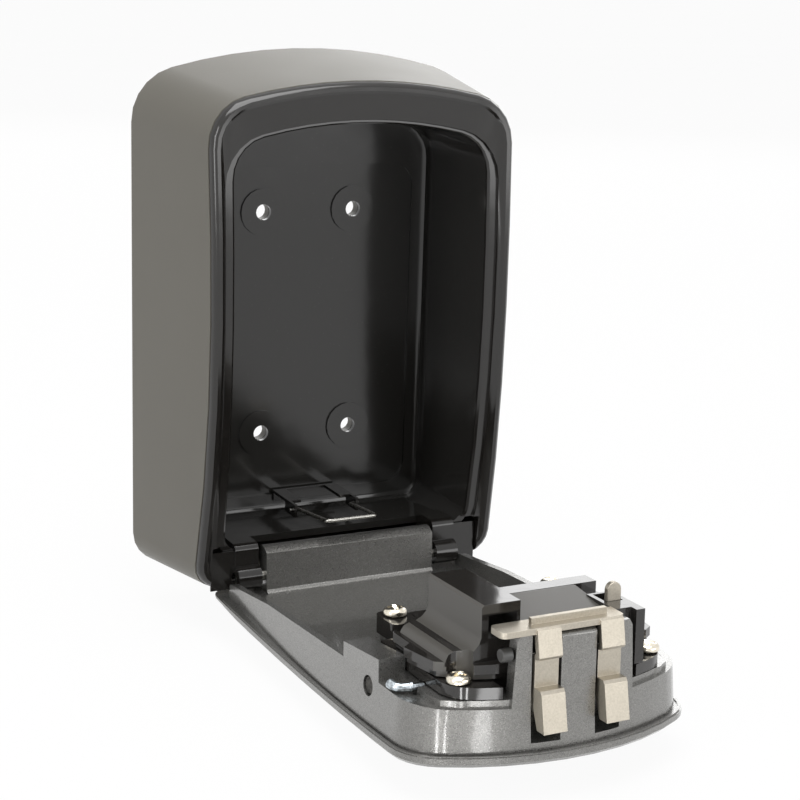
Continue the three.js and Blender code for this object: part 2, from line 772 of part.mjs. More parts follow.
function tower() {
  const trapezium = (inset, top) => [
    flat(-TOWER_HALF + inset, doorFace(TRAY_APEX) + 1),
    flat(TOWER_HALF - inset, doorFace(TRAY_APEX) + 1),
    flat(TOWER_TOP_HALF - inset, top - 1.5),
    flat(TOWER_TOP_HALF - inset - 1, top),
    flat(-TOWER_TOP_HALF + inset + 1, top),
    flat(-TOWER_TOP_HALF + inset, top - 1.5),
  ];
  const whole = common(
    profileZ(trapezium(0, TOWER_TOP), TOWER_CHEEK, TRAY_APEX + 1),
    trayBlock(0, TRAY_FOOT),
  );
  const hollow = common(
    profileZ(trapezium(TOWER_WALL - 0.3, 0), 0, FAR),
    trayBlock(TOWER_WALL, -FAR),
  );
  const rounded = [
    flat(-FAR, 0),
    flat(-FAR, FAR),
    flat(WALL_TOP, FAR),
    flat(WALL_TOP, TRAY_APEX + 0.1),
    ...arc(TOWER_TOP - TOWER_ROUND, TRAY_APEX + 0.1 - TOWER_ROUND, TOWER_ROUND, 90, 0, 5),
    flat(TOWER_TOP, 0),
  ];
  const slots = mirrored(SLOT_IN, SLOT_OUT, SLOT_FLOOR, 0, 0, FAR);
  return cut(common(cut(whole, hollow), profileX(rounded.reverse(), -FAR, FAR)), ...slots);
}

function hingeLeaf() {
  const inSkin = (z) => flat(curledFace(z) + 0.6, z);
  const outline = [
    ...[LEAF_FACE + 3.8, LEAF_FACE + 1.2, LEAF_FACE - 1.8, LEAF_UNDER].map(inSkin),
    flat(LEAF_TIP_Y - 1.4, LEAF_UNDER),
    flat(LEAF_TIP_Y - 0.3, LEAF_UNDER + 0.6),
    flat(LEAF_TIP_Y, LEAF_UNDER + 2),
    flat(LEAF_TIP_Y - 0.3, LEAF_FACE - 1.8),
    flat(LEAF_TIP_Y - 1.6, LEAF_FACE),
    flat(-39.4, LEAF_FACE),
    flat(-40.3, LEAF_FACE + 0.5),
  ];
  return profileX(outline, -LEAF_HALF, LEAF_HALF);
}

function seat() {
  const right = [
    flat(SEAT_HALF, BASE_FROM),
    flat(SEAT_HALF, 40),
    flat(SEAT_HALF - 1, 44.2),
    flat(SEAT_HALF - 3.2, 47.4),
    flat(SEAT_HALF - 6.5, 49.4),
    flat(SEAT_HALF - 12, SEAT_END),
  ];
  const outline = [...right, ...right.map((p) => flat(-p.x, p.y)).reverse()];
  const floor = DOOR_FRONT + DOOR_SKIN - 0.5;
  const inside = TRAY_WALL / 2;
  const table = common(plate(outline, floor, SEAT_TOP), trayBlock(inside, TRAY_FOOT));
  const shelf = common(box(-FAR, FAR, floor, WALL_TOP_END, BOSS_TO - 1, FAR), trayBlock(inside, TRAY_FOOT));
  const cavityFoot = DIAL_Z - CAVITY_R - CAVITY_WALL;
  const side = CAVITY_HALF + CAVITY_WALL;
  const dialBox = box(-side, side, floor, SEAT_TOP, cavityFoot, BASE_FROM + 1);
  const posts = SCREWS.map(({ x, z }) => rodY(SCREW_HEAD_R + 0.8, x, floor, SEAT_TOP, z));
  return join(table, shelf, dialBox, ...posts);
}

function dialCavity() {
  return box(-CAVITY_HALF, CAVITY_HALF, DOOR_FRONT + DOOR_SKIN, 0, DIAL_Z - CAVITY_R, DIAL_Z + CAVITY_R);
}

const dialX = (i) => DIAL_PITCH * (i - (DIALS - 1) / 2);

function dialWindows() {
  const half = DIAL_WIDTH / 2 + GAP;
  return Array.from({ length: DIALS }, (unused, i) => {
    return box(dialX(i) - half, dialX(i) + half, -FAR, DIAL_Y, DIAL_Z - WINDOW_HALF, DIAL_Z + WINDOW_HALF);
  });
}

function sideBoss() {
  const outline = [
    flat(DOOR_FRONT + DOOR_SKIN - 0.5, BOSS_FROM),
    flat(-29.3, BOSS_FROM),
    flat(-27.6, BOSS_TO),
    flat(DOOR_FRONT + DOOR_SKIN - 0.5, BOSS_TO),
  ];
  const block = profileX(outline.reverse(), -FAR, BOSS_IN);
  return common(block, trayBlock(0, TRAY_FOOT));
}

function shutterRails() {
  const top = SHUTTER_BACK - SHUTTER_THICK - GAP;
  const inner = SHUTTER_HALF + GAP;
  const z0 = SHUTTER_FROM - GAP;
  const z1 = SHUTTER_FROM + SHUTTER_LENGTH + SHUTTER_TRAVEL + GAP;
  const walls = mirrored(inner, inner + RAIL_THICK, top - 0.8, DOOR_FRONT + 1.6, z0, z1);
  const lips = mirrored(inner - 1, inner + RAIL_THICK, top - 0.8, top, z0, z1);
  const stops = [z0 - 1.5, z1].map((z) => {
    return box(-inner - RAIL_THICK, inner + RAIL_THICK, top - 0.8, DOOR_FRONT + 2, z, z + 1.5);
  });
  return [...walls, ...lips, ...stops];
}

function zincGroove() {
  return box(-SEAT_HALF - 1, -SEAT_HALF + 3.6, SEAT_TOP - 2.2, 0, 32.2, 35);
}

function doorCasting() {
  const ridge = common(
    cut(plate(flangeOutline(-0.35), -FAR, 0), plate(flangeOutline(-0.9), -FAR, 0)),
    doorSlab(DOOR_SKIN - 0.2, DOOR_SKIN + 0.35, SKIN_END, FLANGE_APEX + 1, FAR),
  );
  const hingeGaps = mirrored(LEAF_HALF, KNUCKLE_OUT + GAP, -FAR, 0, -FAR, SKIN_END);
  const walls = cut(join(ridge, trayWalls()), ...hingeGaps);
  const solid = join(flangePanel(), walls, tower(), hingeLeaf(), seat(), sideBoss(), ...shutterRails());
  const stemSlot = box(-STEM_HALF - GAP, STEM_HALF + GAP, -FAR, 0, BAR_FROM - LATCH_TRAVEL - GAP, 50);
  const hookBay = box(-SLOT_OUT, SLOT_OUT, SLOT_FLOOR, 0, BAR_FROM - LATCH_TRAVEL - GAP, TRAY_APEX - 3);
  const hookSlots = mirrored(SLOT_IN, SLOT_OUT, SLOT_FLOOR, 0, 48, FAR);
  const pinBore = rodX(HINGE_PIN_R + RUN, -LEAF_HALF - 1, LEAF_HALF + 1, HINGE_Y, HINGE_Z);
  const pressed = rodX(PRESSED_R + GAP, -FAR, BOSS_IN - 1.6, PRESSED_Y, PRESSED_Z);
  const shaftEnd = CAVITY_HALF + CAVITY_WALL - 0.6;
  const shaft = rodX(SHAFT_R + GAP, -shaftEnd, shaftEnd, DIAL_Y, DIAL_Z);
  const screws = SCREWS.map(({ x, z }) => rodY(SCREW_R + GAP, x, SEAT_TOP - SCREW_LENGTH, 0, z));
  return cut(
    solid, dialCavity(), ...dialWindows(), stemSlot, hookBay, ...hookSlots, pinBore,
    pressed, shaft, ...screws, zincGroove(),
  );
}

function basePlate() {
  const y0 = SEAT_TOP + GAP;
  const y1 = y0 + BASE_THICK;
  const half = BASE_HALF;
  const outline = [
    flat(half, BASE_FROM),
    flat(half, 41.5),
    flat(half - 0.8, 44),
    flat(half - 2.6, 46.4),
    flat(half - 5.5, 48.2),
    flat(TOWER_HALF + 1, BASE_END),
    flat(TOWER_HALF + 1, BAR_FROM - LATCH_TRAVEL - GAP),
  ];
  const all = [...outline, ...outline.map((p) => flat(-p.x, p.y)).reverse()];
  const ears = SCREWS.filter((s) => s.lift > 0).map(({ x, z, lift }) => {
    const reach = EAR_REACH;
    const tab = plate(roundedRect(x - reach, x + reach, z - reach, BASE_FROM + 1, 2), y0, y1);
    return join(tab, plate(roundedRect(x - reach, x + reach, z - reach, z + reach + 3, 2), y0, y1 + lift));
  });
  const side = CAVITY_HALF + CAVITY_WALL;
  const dialRim = box(-side, side, y0, y1, DIAL_Z - CAVITY_R - CAVITY_WALL, BASE_FROM + 1);
  const holes = SCREWS.map(({ x, z }) => rodY(SCREW_R + GAP, x, -FAR, 0, z));
  return cut(join(plate(all, y0, y1), dialRim, ...ears), dialCavity(), ...holes);
}

function housing() {
  const y0 = SEAT_TOP + GAP + BASE_THICK + GAP;
  const coverOutline = (inset) => {
    const side = [
      flat(COVER_HALF - 2.4 - inset, TALL_FROM - 0.8),
      flat(COVER_HALF - 2.4 - inset, BOSS_TO + 0.4),
      flat(COVER_HALF - inset, BOSS_TO + 2.4),
      flat(COVER_HALF - 1.8 - inset, 38.6),
      flat(COVER_HALF - 4.2 - inset, 40.4),
      flat(COVER_HALF - 8.6 - inset, 44.8 - inset),
      flat(TOWER_HALF + 1, 46.2 - inset),
    ];
    return [...side, ...side.map((p) => flat(-p.x, p.y)).reverse()];
  };
  const body = join(
    plate(coverOutline(COVER_STEP), y0, BODY_TOP - COVER_RIM + 0.1),
    plate(coverOutline(0), BODY_TOP - COVER_RIM, BODY_TOP),
  );
  const flank = [
    flat(TALL_LEFT - 7.4, BODY_TOP - 1),
    flat(TALL_RIGHT, BODY_TOP - 1),
    flat(TALL_RIGHT, TALL_TOP),
    flat(TALL_LEFT + 0.6, TALL_TOP),
    flat(TALL_LEFT, TALL_TOP - 0.6),
    flat(TALL_LEFT, -18.6),
    flat(TALL_LEFT - 0.5, -20.1),
    flat(TALL_LEFT - 1.6, -21.3),
    flat(TALL_LEFT - 3.2, -22.1),
    flat(TALL_LEFT - 5, -22.4),
    flat(TALL_LEFT - 6.3, -22.9),
    flat(TALL_LEFT - 7.1, BODY_TOP + 0.6),
    flat(TALL_LEFT - 7.4, BODY_TOP - 0.1),
  ];
  const tall = profileZ(flank, TALL_FROM, TALL_TO);
  const platform = box(TALL_RIGHT - 1, 14.5, BODY_TOP - 1, PLATFORM_TOP, 23.5, PLATFORM_TO);
  const strip = box(TALL_RIGHT - 1, BLOCK_RIGHT, BODY_TOP - 1, STRIP_TOP, 24.5, 29.5);
  const bridge = box(BLOCK_LEFT, BLOCK_RIGHT, BODY_TOP - 1, PLATFORM_TOP - 0.6, 29, BLOCK_FROM + 1);
  const block = join(
    box(BLOCK_LEFT, BLOCK_RIGHT, y0, BLOCK_TOP, BLOCK_FROM, TOWER_CHEEK - GAP),
    box(TOWER_HALF + GAP, BLOCK_RIGHT, y0, BLOCK_TOP, BLOCK_FROM, BLOCK_TO),
  );
  const foot = DIAL_Z - CAVITY_R - CAVITY_WALL;
  const side = CAVITY_HALF + CAVITY_WALL;
  const cover = box(-side, side, y0, y0 + 1.5, foot, TALL_FROM);
  const mouth = box(TALL_LEFT + 1.8, TALL_RIGHT - 0.8, -19, -13.6, TALL_TO - 6, FAR);
  const leverSlot = box(
    LEVER_X - LEVER_HALF - GAP, LEVER_X + LEVER_HALF + GAP,
    LEVER_FOOT - GAP, 0,
    LEVER_Z - LEVER_THICK / 2 - LEVER_TRAVEL - GAP, LEVER_Z + LEVER_THICK / 2 + GAP,
  );
  const stem = box(-STEM_HALF - GAP, STEM_HALF + GAP, -FAR, 0, BAR_FROM - LATCH_TRAVEL - GAP, FAR);
  const springs = [-SPRING_X, SPRING_X].map((x) => {
    const pocket = new THREE.CylinderGeometry(SPRING_R + 0.6, SPRING_R + 0.6, 20, 12).rotateX(Math.PI / 2);
    return pocket.translate(x, SPRING_Y, SPRING_FROM - GAP + 10);
  });
  const lowBay = box(-SLOT_OUT - 0.6, SLOT_OUT + 0.6, -FAR, SPRING_Y - SPRING_R - 1.4, 44, FAR);
  const headRooms = SCREWS.map(({ x, z }) => rodY(SCREW_HEAD_R + 0.5, x, -FAR, 0, z, 20));
  const earRooms = SCREWS.filter((s) => s.lift > 0).map(({ x, z }) => {
    const reach = EAR_REACH + GAP;
    return box(x - reach, x + reach, -FAR, 0, z - reach, z + reach + 3);
  });
  return cut(
    join(body, tall, platform, strip, bridge, block, cover),
    mouth, leverSlot, stem, ...springs, lowBay, ...headRooms, ...earRooms,
  );
}

function panScrew(x, top, z) {
  const under = top - SCREW_HEAD;
  const profile = [
    flat(0, under - SCREW_LENGTH),
    flat(SCREW_R, under - SCREW_LENGTH),
    flat(SCREW_R, under),
    flat(SCREW_HEAD_R, under),
    flat(SCREW_HEAD_R, under + 0.7),
    flat(SCREW_HEAD_R * 0.93, under + 1.2),
    flat(SCREW_HEAD_R * 0.75, under + 1.65),
    flat(SCREW_HEAD_R * 0.4, top - 0.05),
    flat(0, top),
  ];
  const body = new THREE.LatheGeometry(profile, 16).translate(x, 0, z);
  const arm = 1.5;
  const slit = 0.38;
  const crossing = join(
    box(x - arm, x + arm, top - 1.2, top + 1, z - slit, z + slit),
    box(x - slit, x + slit, top - 1.2, top + 1, z - arm, z + arm),
  );
  return cut(body, crossing);
}

function latchPlate() {
  const barTop = TOWER_TOP + GAP + LATCH_THICK;
  const barFoot = TOWER_TOP + GAP;
  const round = 1.6;
  const outline = [
    flat(BAR_RIGHT, BAR_FROM),
    ...arc(BAR_RIGHT - 1.5, BAR_TO - 1.5, 1.5, 0, 90, 4),
    ...arc(BAR_LEFT + round, BAR_TO - round, round, 90, 180, 5),
    ...arc(BAR_LEFT + round, BAR_FROM + round, round, 180, 270, 5),
  ];
  const bar = plate(outline, barFoot, barTop);
  const upstand = box(-11.3, 8.7, barFoot, barTop + 1.5, 49.6, 50.9);
  const stem = box(-STEM_HALF, STEM_HALF, DOOR_FRONT + 1, barFoot + 0.5, BAR_FROM, BAR_FROM + LATCH_THICK);
  const jog = BAR_TO - 0.2;
  const tab = [
    flat(barTop, BAR_TO - 2.2),
    flat(barTop, BAR_TO - 0.4),
    flat(barTop - 0.5, BAR_TO + 0.4),
    flat(-21.2, 55),
    flat(-21.8, 54.6),
    flat(-22, jog),
    flat(HOOK_TOP - 0.4, jog),
    flat(HOOK_TOP - 0.4, HOOK_FRONT - 2.2),
    flat(HOOK_TOP - 1.2, HOOK_FRONT - 1.6),
    flat(HOOK_FOOT, HOOK_FRONT),
    flat(HOOK_FOOT, HOOK_FRONT - HOOK_THICK),
    flat(HOOK_TOP - 2.6, jog - LATCH_THICK),
    flat(-21.2, jog - LATCH_THICK),
    flat(-20.6, 53.4),
    flat(barFoot - 0.4, BAR_TO - 1.2),
    flat(barFoot - 0.4, BAR_TO - 2.2),
  ];
  const profile = tab.reverse();
  const tabs = [profileX(profile, TAB_IN, TAB_OUT), profileX(profile, -TAB_OUT, -TAB_IN)];
  return join(bar, upstand, stem, ...tabs);
}

function coil(x) {
  const to = BAR_TO - 0.2 - LATCH_THICK - GAP;
  const steps = SPRING_TURNS * 7;
  const points = Array.from({ length: steps + 1 }, (unused, i) => {
    const angle = 2 * Math.PI * SPRING_TURNS * i / steps;
    return vec(
      x + SPRING_R * Math.cos(angle),
      SPRING_Y + SPRING_R * Math.sin(angle),
      SPRING_FROM + SPRING_WIRE + (to - SPRING_FROM - 2 * SPRING_WIRE) * i / steps,
    );
  });
  return tube(points, () => SPRING_WIRE, 4);
}

function releaseSlider() {
  const outline = roundedRect(-SLIDER_HALF, SLIDER_HALF, SLIDER_FROM, SLIDER_TO, 2);
  const slab = doorSlab(-SLIDER_THICK - 0.45, -0.45, SLIDER_FROM - 4, SLIDER_TO + 4, FAR);
  const ribs = [0, 1, 2].map((i) => {
    const z = SLIDER_FROM + 2.4 + 2.6 * i;
    return box(-SLIDER_HALF + 2, SLIDER_HALF - 2, doorFace(z) - SLIDER_THICK - 1.3, doorFace(z) - 1, z, z + 1.2);
  });
  const neck = box(
    -STEM_HALF, STEM_HALF,
    doorFace(BAR_FROM) - 1, DOOR_FRONT + 1 - GAP,
    BAR_FROM, BAR_FROM + LATCH_THICK,
  );
  return join(common(plate(outline, -FAR, 0), slab), ...ribs, neck);
}

function dial(x) {
  const outline = [];
  for (let i = 0; i < 10; i += 1) {
    const at = 36 * i;
    outline.push(...arc(0, 0, DIAL_R, at + 4, at + 32, 2));
    outline.push(...arc(0, 0, DIAL_R - DIAL_GROOVE, at + 36, at + 36, 1).slice(0, 1));
  }
  const shape = new THREE.Shape(outline);
  shape.holes.push(new THREE.Path(arc(0, 0, DIAL_BORE, 360, 0, 20).slice(0, -1)));
  const form = new THREE.ExtrudeGeometry(shape, { depth: DIAL_WIDTH, bevelEnabled: false });
  const turn = new THREE.Matrix4().makeBasis(vec(0, 1, 0), vec(0, 0, 1), vec(1, 0, 0));
  return form.applyMatrix4(turn).translate(x - DIAL_WIDTH / 2, DIAL_Y, DIAL_Z);
}

function codeSleeve(x) {
  const radius = DIAL_BORE - GAP;
  const wall = cut(
    rodX(radius, x - DIAL_WIDTH / 2, x + DIAL_WIDTH / 2, DIAL_Y, DIAL_Z, 20),
    rodX(SHAFT_R + GAP, x - DIAL_WIDTH, x + DIAL_WIDTH, DIAL_Y, DIAL_Z, 16),
  );
  const gate = box(x - 1, x + 1, DIAL_Y - 1.2, DIAL_Y + 1.2, DIAL_Z + radius - 1.3, DIAL_Z + radius + 1);
  return cut(wall, gate);
}

function detentSpring() {
  const y1 = SEAT_TOP + GAP + BASE_THICK + GAP - GAP;
  const y0 = y1 - 0.4;
  const strip = box(-CAVITY_HALF + 1, CAVITY_HALF - 1, y0, y1, DIAL_Z + 2, DIAL_Z + 6);
  const fingers = Array.from({ length: DIALS }, (unused, i) => {
    return box(dialX(i) - 1.6, dialX(i) + 1.6, y0, y1, DIAL_Z - 5, DIAL_Z + 2.5);
  });
  return join(strip, ...fingers);
}

function resetLever() {
  const outline = [
    flat(LEVER_X + LEVER_HALF, LEVER_FOOT),
    ...arc(LEVER_X, LEVER_TOP - LEVER_HALF, LEVER_HALF, 0, 180, 8),
    flat(LEVER_X - LEVER_HALF, LEVER_FOOT),
  ];
  return profileZ(outline, LEVER_Z - LEVER_THICK / 2, LEVER_Z + LEVER_THICK / 2);
}

function weatherShutter() {
  const outline = roundedRect(-SHUTTER_HALF, SHUTTER_HALF, SHUTTER_FROM, SHUTTER_FROM + SHUTTER_LENGTH, 1);
  const leaf = plate(outline, SHUTTER_BACK - SHUTTER_THICK, SHUTTER_BACK);
  const grip = box(-8, 8, SHUTTER_BACK - SHUTTER_THICK - 1.1, SHUTTER_BACK - 0.5, SHUTTER_FROM + 2, SHUTTER_FROM + 4);
  return join(leaf, grip);
}

function zincPin() {
  const y = WALL_TOP + GAP + 1.05;
  const at = -SEAT_HALF;
  const points = [
    vec(at + 2.3, y - 0.1, 33.9),
    vec(at - 0.6, y - 0.1, 33.6),
    vec(at - 0.7, y, 33.6),
    vec(at - 1.2, y, 33.5),
    vec(at - 1.3, y, 33.5),
    vec(at - 2.8, y, 33.2),
    vec(at - 3.8, y, 32.6),
    vec(at - 4.4, y + 0.1, 31.4),
    vec(at - 4.5, y + 0.2, 30.2),
  ];
  const radii = [0.78, 0.78, 1.15, 1.15, 1.02, 1.02, 1.05, 1.15, 1.25];
  return tube(points, (i) => radii[i], 10);
}

function housingPeg() {
  const seatX = -towerHalf(PEG_Y - PEG_R) - GAP;
  return rodX(PEG_R, seatX - PEG_LENGTH, seatX, PEG_Y, PEG_Z, 16);
}

const body = new THREE.Group();
body.add(
  mesh('outer_shell', outerShell(), 'shell'),
  mesh('inner_liner', innerLiner(), 'liner'),
  mesh('hinge_pin', rodX(HINGE_PIN_R, -KNUCKLE_OUT, KNUCKLE_OUT, HINGE_Y, HINGE_Z), 'steel'),
  mesh('bail_bracket', bailBracket(), 'black'),
  mesh('wire_bail', wireBail(), 'steel'),
);

linerScrewPlaces().forEach((place, i) => body.add(mesh(`liner_screw_${i + 1}`, linerScrew(place), 'steel')));

const door = new THREE.Group();
door.position.set(0, -HINGE_Y, -HINGE_Z);
door.add(
  mesh('door_casting', doorCasting(), 'casting'),
  mesh('housing_base_plate', basePlate(), 'black'),
  mesh('mechanism_housing', housing(), 'black'),
  mesh('latch_plate', latchPlate(), 'nickel'),
  mesh('latch_spring_left', coil(-SPRING_X), 'steel'),
  mesh('latch_spring_right', coil(SPRING_X), 'steel'),
  mesh('release_slider', releaseSlider(), 'black'),
  mesh('dial_shaft', rodX(SHAFT_R, -CAVITY_HALF - 1, CAVITY_HALF + 1, DIAL_Y, DIAL_Z), 'steel'),
  mesh('detent_spring', detentSpring(), 'steel'),
  mesh('reset_lever', resetLever(), 'nickel'),
  mesh('weather_shutter', weatherShutter(), 'black'),
  mesh('bent_pin', zincPin(), 'zinc'),
  mesh('tower_peg', housingPeg(), 'steel'),
  mesh('pressed_pin', rodX(PRESSED_R, -TRAY_HALF + 0.1, BOSS_IN - 2, PRESSED_Y, PRESSED_Z), 'casting'),
);
for (let i = 0; i < DIALS; i += 1) {
  door.add(mesh(`dial_${i + 1}`, dial(dialX(i)), 'dial'));
  door.add(mesh(`code_sleeve_${i + 1}`, codeSleeve(dialX(i)), 'steel'));
}

const plateTop = SEAT_TOP + GAP + BASE_THICK;
SCREWS.forEach(({ x, z, lift }, i) => {
  const screw = panScrew(x, plateTop + lift + GAP + SCREW_HEAD, z);
  door.add(mesh(`housing_screw_${i + 1}`, screw, 'nickel'));
});

const hinge = new THREE.Group();
hinge.position.set(0, HINGE_Y, HINGE_Z);
hinge.rotation.x = rad(OPEN_ANGLE);
hinge.add(door);

const safe = new THREE.Group();
safe.add(body, hinge);

export default safe;
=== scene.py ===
"""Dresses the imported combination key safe: finishes, softened edges, hardware and the stage."""
import json
import math

import bmesh
import bpy
from mathutils import Matrix, Vector

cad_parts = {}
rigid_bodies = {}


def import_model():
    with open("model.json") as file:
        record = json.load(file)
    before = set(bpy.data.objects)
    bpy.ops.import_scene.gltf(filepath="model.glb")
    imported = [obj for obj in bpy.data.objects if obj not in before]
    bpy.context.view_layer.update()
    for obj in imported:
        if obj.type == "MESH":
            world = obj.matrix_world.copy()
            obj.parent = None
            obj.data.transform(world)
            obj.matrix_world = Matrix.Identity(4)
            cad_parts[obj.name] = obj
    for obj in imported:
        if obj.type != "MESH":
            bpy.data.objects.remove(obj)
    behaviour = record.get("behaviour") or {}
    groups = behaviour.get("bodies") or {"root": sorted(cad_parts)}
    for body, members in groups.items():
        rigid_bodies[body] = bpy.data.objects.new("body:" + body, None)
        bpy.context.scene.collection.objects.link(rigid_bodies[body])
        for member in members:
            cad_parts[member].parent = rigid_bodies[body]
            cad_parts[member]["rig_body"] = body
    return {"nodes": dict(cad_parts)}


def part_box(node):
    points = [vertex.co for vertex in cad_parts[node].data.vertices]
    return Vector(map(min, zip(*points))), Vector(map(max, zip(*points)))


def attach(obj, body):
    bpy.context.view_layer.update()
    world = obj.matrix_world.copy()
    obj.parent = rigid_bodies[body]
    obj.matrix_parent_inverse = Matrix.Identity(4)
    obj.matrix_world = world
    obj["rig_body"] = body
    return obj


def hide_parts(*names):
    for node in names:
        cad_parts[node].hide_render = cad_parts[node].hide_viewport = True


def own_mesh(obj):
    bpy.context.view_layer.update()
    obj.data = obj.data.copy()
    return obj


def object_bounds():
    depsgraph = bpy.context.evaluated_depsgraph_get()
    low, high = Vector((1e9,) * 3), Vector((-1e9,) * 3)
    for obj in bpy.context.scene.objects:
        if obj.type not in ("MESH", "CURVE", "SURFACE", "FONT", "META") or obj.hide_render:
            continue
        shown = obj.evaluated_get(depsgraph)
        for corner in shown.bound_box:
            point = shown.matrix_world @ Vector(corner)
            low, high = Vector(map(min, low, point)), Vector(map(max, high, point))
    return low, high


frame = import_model()
CAD_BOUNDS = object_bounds()
FLOOR_Z = CAD_BOUNDS[0][2] - 0.002

bl_info = {
    "name": "Key Safe Dressing",
    "version": (1, 0, 0),
    "blender": (4, 5, 0),
    "location": "View3D > Sidebar > Key Safe",
    "description": "Finishes, hardware and stage for a wall key safe",
    "category": "Object",
}

MM = 0.001

# The floor's paper where it is lit, and the white that the camera and gloss see, both linear
PAPER = (0.86, 0.86, 0.86, 1.0)
WHITE = (1.0, 1.0, 1.0, 1.0)

# Faces that meet at less than the first angle are shaded as one, and triangles that meet at less
# than the second are made one face. CAD corners nearer than the weld, in metres, are one corner.
SMOOTH_ANGLE = math.radians(32)
FLAT_ANGLE = math.radians(0.6)
CAD_WELD = 4e-6

# The door, in millimetres: its hinge line, how far it stands open, and the bow of its front
HINGE_Y = -36.1
HINGE_Z = -69.9
OPEN_ANGLE = math.radians(88)
DOOR_FRONT = -47.3
DOOR_MID_Z = 13
DOOR_ARC = 740

# The liner's walls, which get a lighter black as painted light, lie behind this depth, and the
# tall tower's flank, which gets a light grey as painted light, between these sides and above the
# cover, in millimetres on the open door
WALLS_FROM_Y = -34.0
FLANK_LEFT = -28.5
FLANK_RIGHT = -19.2
COVER_LEVEL = -57.8

# The housing screws, in millimetres: head height and radius, shank radius and length
SCREW_HEAD = 2.0
SCREW_RADIUS = 2.93
SHANK_RADIUS = 1.25
SHANK_LENGTH = 7.0

# The dials, in millimetres: their axis on the shut door, their pitch and the radius that carries
# the figures, with the degrees from one figure to the next and those of the first
DIAL_Y = -38.9
DIAL_Z = 12
DIAL_PITCH = 7
DIAL_RADIUS = 9.4
DIAL_STEP = 36
FIRST_FIGURE = 18

# The stage, in metres: what the lamps aim at, and how far over the floor the streak lights lie
SAFE_MIDDLE = Vector((0.0, -0.08, -0.02))
GLOW_HEIGHT = 0.0005

# The camera stands where the photograph was taken from
EYE = Vector((-215.4, -487.4, 103.7)) * MM
LOOK = Vector((0.4416, 0.8638, -0.2426)).normalized()
RIGHT = Vector((0.8934, -0.4482, 0.0307))
FOCAL_PX = 1845.9
FRAME_PX = 800
SENSOR_MM = 36.0


def linear(hex_colour):
    """An sRGB hex colour as linear RGBA."""
    value = hex_colour.lstrip("#")
    parts = [int(value[i:i + 2], 16) / 255 for i in (0, 2, 4)]
    return (*(c / 12.92 if c <= 0.04045 else ((c + 0.055) / 1.055) ** 2.4 for c in parts), 1.0)


def add_node(tree, kind, inputs=None, **settings):
    """Adds one node, sets its properties, and sets or links its inputs."""
    made = tree.nodes.new(kind)
    for name, value in settings.items():
        setattr(made, name, value)
    for name, value in (inputs or {}).items():
        if isinstance(value, bpy.types.NodeSocket):
            tree.links.new(value, made.inputs[name])
        else:
            made.inputs[name].default_value = value
    return made


def empty_material(name):
    """A node material with nothing in its tree."""
    material = bpy.data.materials.new(name)
    material.use_nodes = True
    material.node_tree.nodes.clear()
    return material, material.node_tree


def new_material(name):
    """An empty material and the piece's Object coordinates in millimetres.

    A pattern's scale is then per millimetre: 2 draws it half a millimetre across."""
    material, tree = empty_material(name)
    place = add_node(tree, "ShaderNodeTexCoord")
    scaled = add_node(tree, "ShaderNodeMapping", {
        "Vector": place.outputs["Object"], "Scale": (1 / MM, 1 / MM, 1 / MM),
    })
    return material, tree, scaled.outputs["Vector"]


def close_material(tree, surface):
    """Links a shader to the material's output."""
    add_node(tree, "ShaderNodeOutputMaterial", {"Surface": surface.outputs[0]})


def opaque(colour, share=1.0):
    """A setting's colour, or a share of its strength, as the RGBA that a socket takes."""
    return tuple(c * share for c in colour) + (1.0,)


def satin_enamel(colours):
    """Baked satin enamel on die-cast zinc: soft broad highlights and a fine even orange peel."""
    material, tree, mm = new_material("satin_enamel")
    peel = add_node(tree, "ShaderNodeTexNoise", {"Vector": mm, "Scale": 2.2, "Detail": 2.0})
    bump = add_node(tree, "ShaderNodeBump", {
        "Strength": 0.05, "Distance": 0.1 * MM, "Height": peel.outputs["Fac"],
    })
    broad = add_node(tree, "ShaderNodeTexNoise", {"Vector": mm, "Scale": 0.05, "Detail": 1.0})
    rough = add_node(tree, "ShaderNodeMapRange", {
        "Value": broad.outputs["Fac"], "To Min": 0.40, "To Max": 0.46,
    })
    paint = add_node(tree, "ShaderNodeBsdfPrincipled", {
        "Base Color": opaque(colours.enamel),
        "Metallic": 0.15,
        "Roughness": rough.outputs["Result"],
        "Normal": bump.outputs["Normal"],
    })
    close_material(tree, paint)
    return material


def gloss_lacquer(name, colour, ior):
    """Polished black lacquer: near-mirror gloss, a very faint ripple, and a trace of dust."""
    material, tree, mm = new_material(name)
    ripple = add_node(tree, "ShaderNodeTexNoise", {"Vector": mm, "Scale": 0.12, "Detail": 1.0})
    bump = add_node(tree, "ShaderNodeBump", {
        "Strength": 0.12, "Distance": 0.4 * MM, "Height": ripple.outputs["Fac"],
    })
    speck = add_node(tree, "ShaderNodeTexVoronoi", {"Vector": mm, "Scale": 0.7})
    dust = add_node(tree, "ShaderNodeMapRange", {
        "Value": speck.outputs["Distance"], "From Min": 0.03, "From Max": 0.07,
        "To Min": 0.5, "To Max": 0.14,
    })
    lacquer = add_node(tree, "ShaderNodeBsdfPrincipled", {
        "Base Color": opaque(colour),
        "Roughness": dust.outputs["Result"],
        "IOR": ior,
        "Normal": bump.outputs["Normal"],
    })
    close_material(tree, lacquer)
    return material


